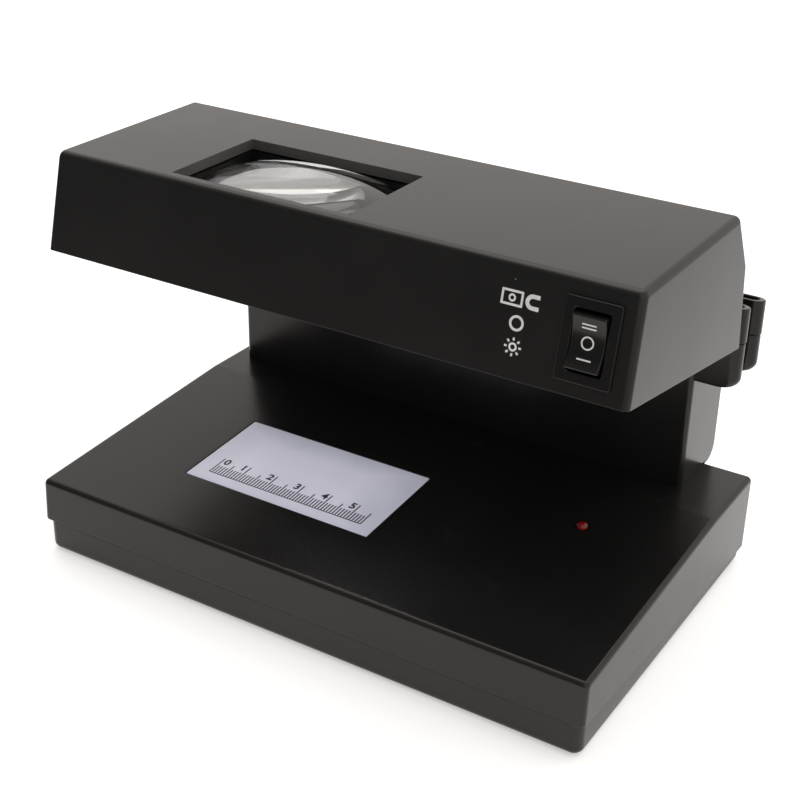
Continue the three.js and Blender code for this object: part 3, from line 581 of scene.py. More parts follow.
looks = {
    "black_shell": moulded("black_shell", 0.0095, 0.25, dust=0.06),
    "black_gloss": moulded("black_gloss", 0.006, 0.2, grain=0.5 * mm, depth=0.006 * mm, smear=0.04),
    "rubber_black": rubber_material(),
    "screw_steel": metal("zinc_steel", 0.55, 0.32, warm=0.02),
    "tinned_brass": metal("tinned_brass", 0.6, 0.3, warm=0.03, streak=(1, 6, 1)),
    "bright_aluminium": metal("bright_aluminium", 0.8, 0.22, streak=(0.15, 1, 1)),
    "silver_plate": metal("silver_plate", 0.62, 0.35, streak=(0.1, 1, 1)),
    "milk_panel": milk_acrylic(),
    "white_plastic": white_moulding("white_moulding", 0.72),
    "white_lamp_resin": white_moulding("lamp_resin", 0.8),
    "circuit_board": circuit_material(),
    "dark_ferrite": varnished_material(),
    "wire_sleeve": sleeve_material(),
    "lamp_glass": lamp_glass_material(),
    "lens_glass": lens_acrylic(),
    "red_lens": red_resin(),
}
pan_black = moulded("black_pan", 0.009, 0.28, grain=0.35 * mm, depth=0.015 * mm, dust=0.04)
# A lighter, rougher grey than the shell, for the walls of the head's window.
window_wall_grey = moulded("window_wall_grey", 0.06, 0.55, grain=0.4 * mm, depth=0.03 * mm, warm=0.03)
white_ink = ink("white_ink", (0.82, 0.82, 0.82, 1))
black_ink = ink("black_ink", (0.015, 0.015, 0.02, 1), 0.4)

for part in frame["record"]["subparts"]:
    data = nodes[part["node"]].data
    data.materials.clear()
    data.materials.append(looks[part["material_slot"]])

# ---- base

base_low, base_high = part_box("base_shell")
tray_low, tray_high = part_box("base_tray")
wall = 2.4 * mm
joint_gap = 0.3 * mm
screw_sink = 2.6 * mm
middle_x = (base_low.x + base_high.x) / 2
deck = plane("base_shell", (0, -0.06, 1))
ledge_z = base_high.z
front_wall = plane("base_shell", (0, -1, 0.05))
bend_y = deck[0].y + (ledge_z - deck[0].z) * deck[1].z / -deck[1].y
rim = plane("base_shell", (0, -0.056, -1))


def seam(y):
    return height_on(rim, y)


def base_casing():
    lean = front_wall[1].z / -front_wall[1].y
    front_at = lambda z: front_wall[0].y + (z - front_wall[0].z) * lean
    low = base_low.z - 12 * mm
    deck_front_z = height_on(deck, front_wall[0].y)
    corners = [
        (front_at(low), low, 0),
        (base_high.y, low, 0),
        (base_high.y, ledge_z, 1.8 * mm),
        (bend_y, ledge_z, 12 * mm),
        (front_at(deck_front_z), deck_front_z, 1.8 * mm),
    ]
    casing = plate("base_casing", corners, levels(base_low.x, base_high.x, 1.6 * mm, 1.6 * mm), sideways)
    cut(casing, slab(seam, -50 * mm, 0))
    soften(casing, 0.6 * mm, lambda p: abs(p.z - seam(p.y)) < 0.02 * mm)
    inner = [(u, v, 0) for u, v in rounded([(u, v, 0) for u, v, _ in corners], wall)]
    inner = [(inner[0][0], low, 0), (inner[1][0], low, 0)] + inner[2:]
    hollow = plate("hollow", inner, levels(base_low.x + wall, base_high.x - wall), sideways)
    return cut(casing, hollow, panel_window(), lamp_hole())


panel_low, panel_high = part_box("watermark_panel")
panel_mid = middle_of("watermark_panel")
panel_on = surface_frame(panel_mid.x, panel_mid.y, deck)
panel_half = (panel_high - panel_low) / 2
panel_edge = about(panel_half.x, panel_half.y, 0.35 * mm)
indicator_mid = middle_of("indicator_lamp")
indicator_on = surface_frame(indicator_mid.x, indicator_mid.y, deck)
dome_radius = 1.85 * mm


def panel_window():
    outline = lambda inset: rounded(panel_edge, inset - 0.15 * mm)
    return loft("window", outline, flare(0, 6 * mm, 0.3 * mm), on(panel_on))


def lamp_hole():
    return round_bar("lamp_hole", dome_radius + 0.15 * mm, flare(0, 6 * mm, 0.3 * mm), on(indicator_on))


def tray():
    low = tray_low.z
    outline = around(tray_low, tray_high, radius=3 * mm)
    pan = plate("base_pan", outline, levels(low, base_low.z + 20 * mm, 2 * mm), steps=6)
    cut(pan, slab(seam, -joint_gap, 50 * mm))
    soften(pan, 0.3 * mm, lambda p: abs(p.z - seam(p.y) + joint_gap) < 0.02 * mm)
    lip_x = (base_low.x + wall + 0.4 * mm, base_high.x - wall - 0.4 * mm)
    lip_y = (tray_low.y + 2.2 * mm, tray_high.y - 2 * mm)
    lip = plate("lip", rectangle(lip_x, lip_y, 4 * mm), levels(low + 2 * mm, tray_high.z, 0, 0.4 * mm))
    join(pan, lip)
    thick = 2.2 * mm
    inside = rectangle((lip_x[0] + thick, lip_x[1] - thick), (lip_y[0] + thick, lip_y[1] - thick), 2 * mm)
    hollow = plate("hollow", inside, levels(low + thick, tray_high.z + 1 * mm))
    from_below = on(Matrix.Diagonal((1, 1, -1, 1)))
    recesses = [round_bar("recess", 6.3 * mm, flare(-low, 1.6 * mm, 0.3 * mm), from_below, spot)
                for spot in places("rubber_foot")]
    sinks = [round_bar("sink", 3.4 * mm, flare(-low, screw_sink, 0.3 * mm), from_below, spot)
             for spot in places("base_screw")]
    return cut(pan, hollow, *recesses, *sinks)


def foot_pad(name, spot):
    profile = [
        (0, 0.35 * mm), (3.2 * mm, 0.35 * mm), (3.6 * mm, 0), (5.1 * mm, 0),
        (5.7 * mm, 0.2 * mm), (6 * mm, 0.7 * mm), (6 * mm, 2 * mm), (0, 2 * mm),
    ]
    return lathe(name, profile, on(Matrix.Translation((*spot, 0))))


def phillips(name, matrix, length, sides=36):
    """A pan-head screw. Its seat is at 0, its head below and its shank runs to +Z."""
    head, high, shank = 2.8 * mm, 1.7 * mm, 1.2 * mm
    dome = [(head * math.sin(t), -high * 0.3 - high * 0.7 * math.cos(t))
            for t in angles(0, math.pi / 2, 6)]
    threads = []
    pitch, root = 0.55 * mm, shank * 0.82
    for i in range(int((length - 2 * mm) / pitch)):
        z = 0.5 * mm + i * pitch
        threads += [(root, z), (shank, z + 0.27 * mm)]
    profile = dome + [(head, -0.15 * mm), (head - 0.15 * mm, 0), (root, 0)]
    profile += threads + [(shank * 0.7, length - 1 * mm), (0, length)]
    screw = lathe(name, profile, on(matrix), sides)
    for turn in (0, math.pi / 2):
        wide, deep = 1.6 * mm, 1.1 * mm
        heights = [(0.28 * mm, -high + deep), (0, -high - 1 * mm)]
        place = on(matrix @ Matrix.Rotation(turn, 4, "Z"))
        blade = plate("blade", about(wide, 0.4 * mm, 0.12 * mm), heights, place, steps=2)
        cut(screw, blade)
    return screw


show(base_casing(), "black_shell", replaces=["base_shell"])
show(tray(), "black_shell", replaces=["base_tray"], material=pan_black)
for number, spot in enumerate(places("rubber_foot"), 1):
    show(foot_pad(f"foot_pad_{number}", spot), "rubber_black", replaces=[f"rubber_foot_{number}"])
for number, spot in enumerate(places("base_screw"), 1):
    seat = Matrix.Translation((*spot, tray_low.z + screw_sink - 0.05 * mm))
    show(phillips(f"tray_screw_{number}", seat, 14 * mm), "screw_steel",
         replaces=[f"base_screw_{number}"])

# ---- watermark panel

plate_thick = 2.6 * mm
panel_top = -0.04 * mm
panel_levels = levels(-plate_thick, panel_top, 0.15 * mm, 0.25 * mm)
panel_plate = plate("scale_panel", panel_edge, panel_levels, on(panel_on))
show(panel_plate, "milk_panel", replaces=["watermark_panel"])


def print_on(place, name, outlines, thickness=0.02 * mm, lift=0.0):
    """Thin printed marks, each a closed outline, or an outline and the hole in it as a pair."""
    parts = []
    top = lift + thickness
    for outline in outlines:
        holed = isinstance(outline, tuple)
        outer, inner = outline if holed else (outline, None)
        loops = [(outer, lift), (outer, top)] + ([(inner, top), (inner, lift)] if holed else [])
        rings = [[place(p[0], p[1], z) for p in loop] for loop, z in loops]
        parts.append(as_object("mark", skin(rings, closed=holed)))
    return merge(name, parts)


def numeral(text, size, matrix, thickness):
    """A bold numeral that stands on its frame's origin and is centred on it."""
    curve = bpy.data.curves.new("numeral", "FONT")
    curve.body = text
    curve.size = size
    curve.align_x = "CENTER"
    curve.align_y = "BOTTOM_BASELINE"
    curve.extrude = thickness / 2
    curve.offset = 0.035 * size
    curve.resolution_u = 4
    made = add_object("numeral", curve)
    graph = bpy.context.evaluated_depsgraph_get()
    graph.update()
    data = bpy.data.meshes.new_from_object(made.evaluated_get(graph))
    bpy.data.objects.remove(made)
    data.transform(matrix @ Matrix.Translation((0, 0, thickness / 2)))
    return add_object("numeral", data)


def scale_print():
    """A centimetre scale with a tick each millimetre, its zero near the panel's left rim."""
    start = -panel_half.x + 5.6 * mm
    foot = -panel_half.y + 4.2 * mm
    line, rule, thickness = 0.42 * mm, 0.32 * mm, 0.015 * mm
    last = 55
    marks = [rounded(rectangle((start, start + last * mm), (foot - rule / 2, foot + rule / 2)))]
    for tick in range(last + 1):
        length = 8 * mm if tick % 10 == 0 else 6 * mm if tick % 5 == 0 else 4.1 * mm
        x = start + tick * mm
        marks.append(rounded(rectangle((x - line / 2, x + line / 2), (foot, foot + length))))
    lines = print_on(on(panel_on), "lines", marks, thickness, panel_top)
    figures = []
    for centimetre in range(6):
        side = 1.9 * mm if centimetre == 0 else -1.8 * mm
        at = Vector((start + centimetre * 10 * mm + side, foot + 5.4 * mm, panel_top))
        figures.append(numeral(str(centimetre), 4 * mm, panel_on @ Matrix.Translation(at), thickness))
    return merge("scale_print", [lines] + figures)


show(scale_print(), "milk_panel", material=black_ink)

dome = arc((0, -0.3 * mm), dome_radius, 0, math.pi / 2, 10)[:-1]
resin = [(0, -3.6 * mm), (2.5 * mm, -3.6 * mm), (2.5 * mm, -2.7 * mm), (dome_radius, -2.7 * mm)]
resin += dome + [(0, dome_radius - 0.3 * mm)]
show(lathe("indicator_dome", resin, on(indicator_on)), "red_lens", replaces=["indicator_lamp"])

# ---- column

column_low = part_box("column_shell")[0]
cover_low, cover_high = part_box("rear_cover")
column_rear = cover_high.y
underside = plane("head_shell", (0, -0.1726, -1))
column_side = plane("column_shell", (1, 0, 0))[0].x


def under(y):
    return height_on(underside, y)


def column_casing():
    front, rear = column_low.y, column_rear
    foot = ledge_z + 0.05 * mm
    hang_front = base_high.y + 0.3 * mm
    hang = column_low.z
    top = cover_high.z + 30 * mm
    corners = [
        (front, foot - 8 * mm, 0), (hang_front, foot - 8 * mm, 0), (hang_front, hang, 0.4 * mm),
        (rear, hang, 6 * mm), (rear, top, 0), (front, top, 0),
    ]
    left, right = column_low.x, column_side
    casing = plate("column_casing", corners, levels(left, right, 1.6 * mm, 1.6 * mm), sideways, steps=7)
    under_foot = plate("box", rectangle((left - 1 * mm, right + 1 * mm), (front - 2 * mm, hang_front)),
                       levels(foot - 12 * mm, foot))
    hollow = plate("hollow", rectangle((left + wall, right - wall), (front + wall, rear - 4.2 * mm), 1 * mm),
                   levels(foot + 2.4 * mm, top + 1 * mm))
    door = plate("door", around(cover_low, cover_high, (0, 2), joint_gap, 0.8 * mm),
                 flare(rear, 2.2 * mm, 0.25 * mm), rearward)
    doorway = plate("doorway", around(cover_low, cover_high, (0, 2), -4 * mm, 1 * mm),
                    levels(rear - 8 * mm, rear), rearward)
    mouth = plate("mouth", around(*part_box("magnetic_pickup"), (1, 2), joint_gap, 0.4 * mm),
                  flare(right, 4 * mm, 0.2 * mm), sideways)
    return cut(casing, under_foot, slab(under, -joint_gap, 60 * mm), hollow, door, doorway, mouth)


def post_points(node):
    """The CAD points of a node's two guide posts, which stand out of the column's right side."""
    points = [v.co for v in nodes[node].data.vertices]
    return [p for p in points if p.x > column_side + 4 * mm and p.y > column_low.y]


upper_points = post_points("head_shell")
post_width, post_wall, post_tip_wall = 6.5 * mm, 1.2 * mm, 1.8 * mm
post_out = max(p.x for p in upper_points)
post_low = min(p.z for p in post_points("column_shell"))
front_post = min(p.y for p in upper_points)
post_fronts = [front_post, min(p.y for p in upper_points if p.y > front_post + post_width + 1 * mm)]
post_rise = 10.7 * mm


def post_level(start, tip, middle, radius, height):
    """One level of a post: a flat end at x = start, and a round end of a radius centred at x = tip."""
    outline = [(start, middle - radius)] + arc((tip, middle), radius, -math.pi / 2, math.pi / 2, 16)
    outline.append((start, middle + radius))
    return [Vector((x, y, height(y))) for x, y in outline]


def post_ring(front, inset, recede, height):
    """The outside of a guide post. Its flat end is inside the column's wall."""
    half = post_width / 2
    radius = half - inset
    tip = post_out - inset - recede - radius
    return post_level(column_side - 0.8 * mm, tip, front + half, radius, height)


def bore_ring(front, inset, height):
    """The hollow of a guide post, which stops short of the column's wall."""
    half = post_width / 2
    radius = half - post_wall - inset
    tip = post_out - post_tip_wall - inset - radius
    return post_level(column_side + 1 * mm + inset, tip, front + half, radius, height)


def lower_post(front):
    trim = 0.15 * mm
    foot = 3 * mm
    rings = []
    for angle in angles(0, math.pi / 2, 8):
        z = post_low + foot * (1 - math.cos(angle))
        rings.append(post_ring(front, trim + max(0.3 * mm - z + post_low, 0) * 0.6,
                               foot * (1 - math.sin(angle)), lambda y, z=z: z))
    joint = lambda drop: lambda y: under(y) - joint_gap - drop
    rings.append(post_ring(front, trim, 0, joint(0.3 * mm)))
    rings.append(post_ring(front, trim + 0.2 * mm, 0, joint(0)))
    rings.append(bore_ring(front, 0, joint(0)))
    rings.append(bore_ring(front, 0, lambda y: post_low + 2.6 * mm))
    return as_object("post", skin(rings))


def upper_post(front):
    over = lambda rise: lambda y: under(y) + rise
    rim = [(i, post_rise - d) for i, d in reversed(quarter(0.4 * mm, 3))]
    rings = [post_ring(front, 0.2 * mm, 0, over(0)), post_ring(front, 0, 0, over(0.2 * mm))]
    rings += [post_ring(front, inset, 0, over(rise)) for inset, rise in rim]
    rings += [bore_ring(front, -0.25 * mm, over(post_rise)), bore_ring(front, 0, over(post_rise - 0.3 * mm)),
              bore_ring(front, 0, over(0))]
    return as_object("post", skin(rings, closed=True))


def rear_plate():
    rear = cover_high.y
    outline = around(cover_low, cover_high, (0, 2), radius=0.6 * mm)
    cover = plate("service_cover", outline, levels(cover_low.y, rear, 0, 0.3 * mm), rearward)
    tools = []
    vent_pitch, vent_width = 5 * mm, 2.2 * mm
    for i in range(6):
        x = middle_x - 26 * mm + vent_pitch * i
        tools.append(plate("vent", rectangle((x, x + vent_width), (43 * mm, 63 * mm), 1.05 * mm),
                           flare(rear, 5 * mm, 0.3 * mm), rearward))
    for spot in places("rear_screw", (0, 2)):
        tools.append(round_bar("sink", 3.2 * mm, flare(rear, 1 * mm, 0.25 * mm), rearward, spot))
    opening = around(*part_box("power_inlet"), (0, 2), -1.7 * mm)
    tools.append(plate("inlet_hole", opening, levels(cover_low.y - 1 * mm, rear + 1 * mm), rearward))
    return cut(cover, *tools)


def mains_inlet():
    low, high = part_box("power_inlet")
    middle = (low + high) / 2
    rear = high.y
    flange = plate("mains_inlet", around(low, high, (0, 2), radius=2 * mm),
                   levels(column_rear + 0.05 * mm, rear, 0, 0.5 * mm), rearward)
    outline = around(low, high, (0, 2), -2 * mm, 0.5 * mm)
    join(flange, plate("body", outline, levels(low.y, rear - 0.6 * mm), rearward))
    lobe, spread = 3.6 * mm, 4.3 * mm
    waist = math.acos(1 - 0.9 * mm / lobe)
    lobe_edge = arc((spread, 0), lobe, waist - math.pi, math.pi - waist, 24)
    eight = lobe_edge + [-p for p in lobe_edge]
    figure = lambda inset: [p * (1 - inset / lobe) + Vector((middle.x, middle.z)) for p in eight]
    mouth = loft("mouth", figure, flare(rear, rear - low.y - 3 * mm, 0.35 * mm), rearward)
    return cut(flange, mouth)


def pin(number):
    low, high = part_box(f"power_pin_{number}")
    middle = (low + high) / 2
    return round_bar(f"inlet_pin_{number}", 1.2 * mm, levels(low.y, high.y, 0, 0.5 * mm), rearward,
                     (middle.x, middle.z), 28)


def rating_label():
    """A plate with a ruled border and two ruled lines, and no words."""
    low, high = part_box("rating_plate")
    outline = around(low, high, (0, 2), radius=1.5 * mm)
    label = plate("blank_label", outline, levels(low.y, high.y, 0, 0.08 * mm), rearward)
    margin, line = 1.2 * mm, 0.25 * mm
    rules = [(rounded(outline, margin), rounded(outline, margin + line))]
    flat = Matrix(((1, 0, 0, 0), (0, 0, 1, high.y), (0, 1, 0, 0), (0, 0, 0, 1)))
    for row in (0.36, 0.66):
        z = low.z + (high.z - low.z) * row
        rules.append(rounded(rectangle((low.x + 1.4 * mm, high.x - 1.4 * mm), (z, z + 0.2 * mm))))
    return label, print_on(on(flat), "label_rules", rules, 0.01 * mm)


show(column_casing(), "black_shell", replaces=["column_shell"])
show(merge("guide_posts_lower", [lower_post(front) for front in post_fronts]), "black_shell")
show(merge("guide_posts_upper", [upper_post(front) for front in post_fronts]), "black_shell")
show(rear_plate(), "black_shell", replaces=["rear_cover"])
back_turn = Matrix.Rotation(math.pi / 2, 4, "X")
for number, (x, z) in enumerate(places("rear_screw", (0, 2)), 1):
    seat = Matrix.Translation((x, cover_high.y - 0.95 * mm, z)) @ back_turn
    show(phillips(f"cover_screw_{number}", seat, 9 * mm), "screw_steel",
         replaces=[f"rear_screw_{number}"])
show(mains_inlet(), "black_gloss", replaces=["power_inlet"])
for number in (1, 2):
    show(pin(number), "tinned_brass", replaces=[f"power_pin_{number}"])
label, rules = rating_label()
show(label, "silver_plate", replaces=["rating_plate"])
show(rules, "silver_plate", material=black_ink)

# ---- head

head_low, head_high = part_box("head_shell")
head_front = plane("head_shell", (0, -1, 0.24))
head_top = plane("head_shell", (0, 0, 1))
head_slant = plane("head_shell", (0, 0.89, 0.45))
head_back = plane("head_shell", (0, 1, 0.1))
roof = 3 * mm
lens_low, lens_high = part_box("magnifier_lens")
window_margin = Vector((1.1 * mm, 1.3 * mm, 0))
window_low = lens_low - window_margin
window_high = lens_high + window_margin
rear_box_rise = 13 * mm
draft = 1 * mm

pivot = Vector(next(j for j in frame["joints"] if j["name"] == "rocker_tilt")["pos_m"])
rake = math.atan2(head_front[1].z, -head_front[1].y)
switch_on = Matrix.Translation(pivot + head_front[1] * mm) @ Matrix((
    (1, 0, 0, 0),
    (0, math.sin(rake), -math.cos(rake), 0),
    (0, math.cos(rake), math.sin(rake), 0),
    (0, 0, 0, 1),
))


def drafted(point):
    """The head narrows a little towards its top."""
    rise = (point.z - under(head_low.y)) / (head_high.z - under(head_low.y))
    half = (head_high.x - head_low.x) / 2
    centre = (head_high.x + head_low.x) / 2
    return Vector((centre + (point.x - centre) * (1 - draft * max(rise, 0) / half), point.y, point.z))


def head_casing():
    run = 12 * mm
    front_low = meet(head_front, underside)
    back_low = meet(head_back, underside)
    front_slope = (meet(head_front, head_top)[0] - front_low[0]) / (head_high.z - front_low[1])
    back_high = meet(head_back, head_slant)
    back_slope = (back_high[0] - back_low[0]) / (back_high[1] - back_low[1])
    corners = [
        (front_low[0] - run * front_slope, front_low[1] - run, 0),
        (back_low[0] - run * back_slope, back_low[1] - run, 0),
        (*back_high, 1.6 * mm),
        (*meet(head_slant, head_top), 1.6 * mm),
        (*meet(head_top, head_front), 2.4 * mm),
    ]
    place = lambda u, v, x: drafted(sideways(u, v, x))
    casing = plate("head_casing", corners, levels(head_low.x, head_high.x, 0.8 * mm, 2 * mm), place, steps=6)
    start, rear = back_high[0], column_rear
    box_corners = [
        (start, under(start) - run, 0), (rear, under(rear) - run, 0),
        (rear, under(rear) + rear_box_rise, 3 * mm), (start, under(start) + rear_box_rise, 0),
    ]
    box_levels = levels(column_low.x, column_side, 2 * mm, 2 * mm)
    join(casing, plate("rear_box", box_corners, box_levels, sideways, steps=6))
    cut(casing, slab(under, -80 * mm, 0))
    soften(casing, 0.3 * mm, lambda p: abs(p.z - under(p.y)) < 0.01 * mm)
    inner = [(u, v) for u, v in rounded([(u, v, 0) for u, v, _ in corners], wall)]
    roof_z = head_high.z - roof
    inner = [(inner[0][0], inner[0][1] - wall, 0), (inner[1][0], inner[1][1] - wall, 0), (*inner[2], 0),
             (inner[3][0] + 0.3 * mm, roof_z, 0.5 * mm), (inner[4][0], roof_z, 0.5 * mm)]
    side_wall = wall + draft / 2
    hollow = plate("hollow", inner, levels(head_low.x + side_wall, head_high.x - side_wall), sideways)
    box_start = back_low[0] + wall
    box_inner = [
        (box_start, under(box_start) - run, 0), (rear - wall, under(rear) - run, 0),
        (rear - wall, under(rear) + rear_box_rise - wall, 1 * mm),
        (box_start, under(box_start) + rear_box_rise - wall, 0),
    ]
    box_hollow = plate("hollow", box_inner, levels(column_low.x + wall, column_side - wall), sideways)
    opening = around(window_low, window_high, radius=0.3 * mm)
    window = plate("window", opening, flare(head_high.z, 8 * mm, 0.2 * mm), steps=3)
    switch_hole = plate("hole", about(6.6 * mm, 9.7 * mm), levels(-10 * mm, 10 * mm), on(switch_on))
    return cut(casing, hollow, box_hollow, window, switch_hole)


head = show(head_casing(), "black_shell", replaces=["head_shell"])
head.data.materials.append(window_wall_grey)
# The walls of the window through the roof take the lighter grey.
for face in head.data.polygons:
    inside = (window_low.x - 0.5 * mm < face.center.x < window_high.x + 0.5 * mm
              and window_low.y - 0.5 * mm < face.center.y < window_high.y + 0.5 * mm)
    if inside and abs(face.normal.z) < 0.3 and face.center.z > head_high.z - roof:
        face.material_index = 1

# ---- magnifier

lens_mid = middle_of("magnifier_lens")
lens_half = (lens_high - lens_low) / 2


def sphere_sag(radius, distance):
    return radius - math.sqrt(radius ** 2 - distance ** 2)


def lens_solid(radius=115 * mm, columns=56, rows=36):
    """A rectangular lens, domed above and below to the same radius."""
    crown, belly = lens_high.z, lens_low.z
    mesh = bmesh.new()

    def sheet(height):
        grid = []
        for j in range(rows + 1):
            y = lens_mid.y - lens_half.y + 2 * lens_half.y * j / rows
            line = []
            for i in range(columns + 1):
                x = lens_mid.x - lens_half.x + 2 * lens_half.x * i / columns
                distance = math.hypot(x - lens_mid.x, y - lens_mid.y)
                line.append(mesh.verts.new((x, y, height(sphere_sag(radius, distance)))))
            grid.append(line)
        for low, high in zip(grid, grid[1:]):
            for i in range(columns):
                mesh.faces.new((low[i], low[i + 1], high[i + 1], high[i]))
        right = [line[-1] for line in grid[:-1]]
        left = [line[0] for line in grid[:0:-1]]
        return grid[0][:-1] + right + grid[-1][:0:-1] + left

    top = sheet(lambda sag: crown - sag)
    bottom = sheet(lambda sag: belly + sag)
    for i, here in enumerate(top):
        j = (i + 1) % len(top)
        mesh.faces.new((here, top[j], bottom[j], bottom[i]))
    bmesh.ops.recalc_face_normals(mesh, faces=mesh.faces)
    lens = as_object("magnifier", mesh)
    return soften(lens, 0.25 * mm, lambda p: True)


show(lens_solid(), "lens_glass", replaces=["magnifier_lens"], smooth=30)

# ---- lamp

tube_low, tube_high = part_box("uv_tube")
tube_axis = Vector(next(j for j in frame["joints"] if j["name"] == "tube_turn")["pos_m"])


def along_tube(u, v, height):
    return Vector((height, tube_axis.y + u, tube_axis.z + v))


def lamp_tube():
    radius = (tube_high.z - tube_low.z) / 2
    heights = levels(tube_low.x, tube_high.x, 0.6 * mm, 0.6 * mm)
    return round_bar("lamp_tube", radius, heights, along_tube, sides=64)


def tube_cap(name, inward):
    """A spun metal cap with two pins. Its inward side is to the right for 1 and to the left for -1."""
    low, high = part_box(name)
    radius = (tube_high.z - tube_low.z) / 2 + 0.1 * mm
    length, prong = 7 * mm, 6.8 * mm
    face = low.x + prong if inward > 0 else high.x - prong
    groove = 0.35 * mm
    profile = [(0, 0), (radius - 0.6 * mm, 0), (radius, 0.6 * mm), (radius, 4.6 * mm),
               (radius - groove, 4.9 * mm), (radius - groove, 5.3 * mm), (radius, 5.6 * mm), (radius, length),
               (0, length)]
    place = lambda u, v, depth: along_tube(u, v, face + inward * depth)
    cap = lathe(f"{name}_spun", profile, place, 64)
    for u in (-2.5 * mm, 2.5 * mm):
        join(cap, round_bar("prong", 1.2 * mm, levels(-prong, 0.5 * mm, 0.4 * mm), place, (u, 0), 20))
    return cap


show(lamp_tube(), "lamp_glass", "uv_tube", ["uv_tube"])
for name, inward in (("tube_cap_left", 1), ("tube_cap_right", -1)):
    show(tube_cap(name, inward), "bright_aluminium", "uv_tube", [name])

# ---- switch

bezel_edge = about(7.5 * mm, 10.5 * mm, 0.8 * mm)
mouth_edge = about(4.7 * mm, 7.75 * mm, 0.35 * mm)
housing_edge = about(6.45 * mm, 9.55 * mm, 0.3 * mm)
proud = max((switch_on.inverted() @ v.co).z for v in nodes["switch_body"].data.vertices)
pivot_depth = 1 * mm
face_end, face_rise, face_dip = 6.8 * mm, 4 * mm, 2.1 * mm
face_radius = (face_end ** 2 + face_dip ** 2) / (2 * face_dip)
mark_x = middle_x + 56.4 * mm
mark_heights = (112.6 * mm, 106.8 * mm, 101 * mm)


def along_pivot(u, v, x):
    return switch_on @ Vector((x, u, v - pivot_depth))


def switch_bezel():
    """A snap-in frame whose housing goes through the head's front."""
    place = on(switch_on)
    body = plate("switch_bezel", bezel_edge, levels(0.1 * mm, proud, 0.1 * mm, 0.3 * mm), place)
    join(body, plate("housing", housing_edge, levels(-11 * mm, 0.4 * mm), place))
    mouth = plate("mouth", mouth_edge, flare(proud, 11.5 * mm, 0.3 * mm), place, steps=3)
    hole = round_bar("hole", 1.5 * mm, levels(-5.8 * mm, 5.8 * mm), along_pivot, sides=24)
    return cut(body, mouth, hole)


def rocker_cap():
    """A rocker whose face is a hollow arc between two raised, rounded ends."""
    spread = math.asin(face_end / face_radius)
    lip = 0.5 * mm
    face = []
    for angle in angles(-spread, spread, 24):
        depth = face_rise - face_dip + face_radius - face_radius * math.cos(angle)
        face.append((face_radius * math.sin(angle), depth, 0))
    outline = [(-7.1 * mm, 0, 0), (-5 * mm, -3 * mm, 0), (-1.2 * mm, -6.5 * mm, 0), (1.2 * mm, -6.5 * mm, 0),
               (5 * mm, -3 * mm, 0), (7.1 * mm, 0, 0)]
    outline += [(face_end, face_rise, lip)] + face[-2:0:-1] + [(-face_end, face_rise, lip)]
    outline = [(v, u, r) for u, v, r in outline][::-1]
    half = 4.45 * mm
    place = lambda u, v, x: switch_on @ Vector((x, v, u - pivot_depth))
    cap = plate("rocker_cap", outline, levels(-half, half, 0.3 * mm, 0.3 * mm), place, steps=3)
    pins = round_bar("pins", 1.2 * mm, levels(-5.4 * mm, 5.4 * mm, 0.2 * mm, 0.2 * mm), along_pivot, sides=24)
    return join(cap, pins)


def rocker_marks():
    """Two bars for one position, a ring for off and one bar for the other, on the rocker's hollow face."""
    def on_face(u, v, height):
        angle = v / face_radius
        out = face_radius - height
        depth = face_rise - face_dip + face_radius - out * math.cos(angle) - pivot_depth
        return switch_on @ Vector((u, out * math.sin(angle), depth))

    bar = lambda v: rounded(rectangle((-1.9 * mm, 1.9 * mm), (v - 0.2 * mm, v + 0.2 * mm), 0.19 * mm))
    ring = (circle(1.7 * mm, (0, -0.1 * mm), 48), circle(1.3 * mm, (0, -0.1 * mm), 48))
    return print_on(on_face, "rocker_marks", [bar(4.6 * mm), bar(3.6 * mm), bar(-4.2 * mm), ring])


def head_marks():
    """Pictures for the three positions: a note and a magnet, off, and a lamp."""
    note = (rounded(rectangle((-5.2 * mm, 0.8 * mm), (-2 * mm, 2 * mm), 0.3 * mm)),
            rounded(rectangle((-4.6 * mm, 0.2 * mm), (-1.4 * mm, 1.4 * mm), 0.1 * mm)))
    coin = (circle(1 * mm, (-2.2 * mm, 0)), circle(0.5 * mm, (-2.2 * mm, 0)))
    bend = 1.45 * mm
    magnet = [(5.2 * mm, bend)] + arc((3.4 * mm, 0), bend, math.pi / 2, 3 * math.pi / 2) + [(5.2 * mm, -bend)]
    off = (circle(2 * mm, sides=48), circle(1.35 * mm, sides=48))
    lamp = [(circle(1.15 * mm, sides=40), circle(0.6 * mm, sides=40))]
    for angle in angles(0, 7 * math.pi / 4, 7):
        ray = [(r * math.cos(angle), r * math.sin(angle)) for r in (1.6 * mm, 2.35 * mm)]
        lamp.append(ribbon(ray, 0.55 * mm))
    rows = []
    point, normal = head_front
    pictures = [note, coin, ribbon(magnet, 1.05 * mm)], [off], lamp
    for z, marks in zip(mark_heights, pictures):
        y = point.y - (z - point.z) * normal.z / normal.y
        place = Matrix.Translation((mark_x, y, z)) @ switch_on.to_3x3().to_4x4()
        rows.append(print_on(on(place), "row", marks))
    return merge("head_marks", rows)


show(switch_bezel(), "black_gloss", replaces=["switch_body"])
show(rocker_cap(), "black_gloss", "rocker", ["rocker"])
show(rocker_marks(), "black_gloss", "rocker", material=white_ink)
show(head_marks(), "black_shell", material=white_ink)

# ---- stage


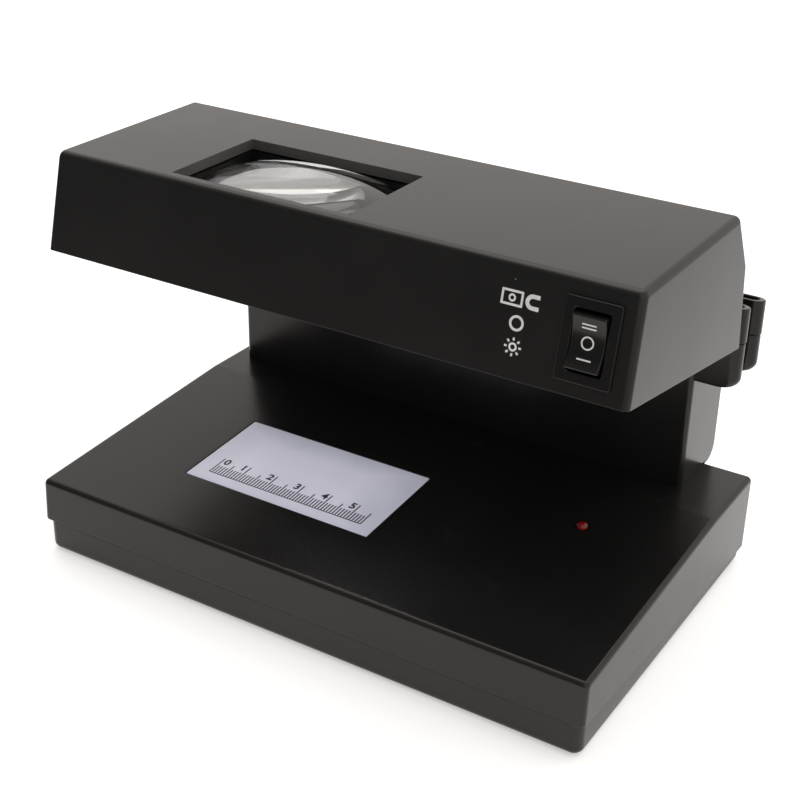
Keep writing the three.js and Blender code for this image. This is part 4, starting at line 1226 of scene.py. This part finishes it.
def world():
    """A bright tent that reflects as if it had a dim opening on the front left."""
    n = Nodes("surround", "worlds", "Background")
    opening = Vector((-0.7, -0.75, 0.12)).normalized()
    toward = n.add("ShaderNodeVectorMath", {0: n.coordinates["Generated"], 1: opening},
                   operation="DOT_PRODUCT")
    ramp = n.add("ShaderNodeValToRGB", {"Fac": toward.outputs["Value"]})
    ramp.color_ramp.interpolation = "EASE"
    for stop, position, colour in zip(ramp.color_ramp.elements, (0.2, 0.9),
                                      ((1, 0.955, 0.915, 1), (0.16, 0.16, 0.165, 1))):
        stop.position = position
        stop.color = colour
    ray = n.add("ShaderNodeLightPath")
    colour = n.mix(ray.outputs["Is Camera Ray"], ramp.outputs["Color"], (1, 1, 1, 1))
    bpy.context.scene.world = n.set(Color=colour)


def floor():
    """White paper that glows. What the object sees of it darkens far in front and to the right."""
    n = Nodes("floor_paper")
    tone = n.noise(0.3, 2.0, 0.5)
    at = n.add("ShaderNodeSeparateXYZ", {"Vector": n.place})
    forward = n.math("ADD", at.outputs["Y"], n.math("MULTIPLY", at.outputs["X"], 0.3))
    ray = n.add("ShaderNodeLightPath")
    near = n.math("MULTIPLY", n.span(forward, -0.42, -0.26), n.span(at.outputs["X"], 0.12, 0.26, 1, 0.5))
    lit = n.math("MAXIMUM", near, ray.outputs["Is Camera Ray"])
    white = n.mix(tone, (0.9, 0.9, 0.9, 1), (0.87, 0.87, 0.87, 1))
    paper = n.set(Base_Color=n.mix(lit, (0.22, 0.22, 0.22, 1), white), Roughness=0.9,
                  Emission_Color=(1, 0.99, 0.98, 1), Emission_Strength=n.math("MULTIPLY", lit, 0.42))
    mesh = bmesh.new()
    bmesh.ops.create_grid(mesh, x_segments=4, y_segments=4, size=4)
    sheet = as_object("floor", mesh)
    sheet.data.materials.append(paper)


def overhead_light():
    light = bpy.data.lights.new("overhead", "AREA")
    light.shape = "RECTANGLE"
    light.size, light.size_y = 1.6, 1.2
    light.energy = 9
    made = add_object("overhead", light)
    made.location = (-0.2, 0.4, 1.5)
    made.rotation_mode = "QUATERNION"
    made.rotation_quaternion = (-made.location).to_track_quat("-Z", "Y")


def camera():
    azimuth, elevation, roll = (math.radians(angle) for angle in (31.44, 27.25, 1.14))
    data = bpy.data.cameras.new("camera")
    data.sensor_width = 36
    data.lens = 68.25
    data.clip_start = 10 * mm
    made = add_object("camera", data)
    tilt = Matrix.Rotation(math.pi / 2 - elevation, 4, "X") @ Matrix.Rotation(roll, 4, "Z")
    made.matrix_world = Matrix.Translation((0.21, -0.3444, 0.2583)) @ Matrix.Rotation(azimuth, 4, "Z") @ tilt
    bpy.context.scene.camera = made


world()
floor()
overhead_light()
camera()
bpy.context.scene.view_settings.view_transform = "Standard"

bpy.context.view_layer.update()
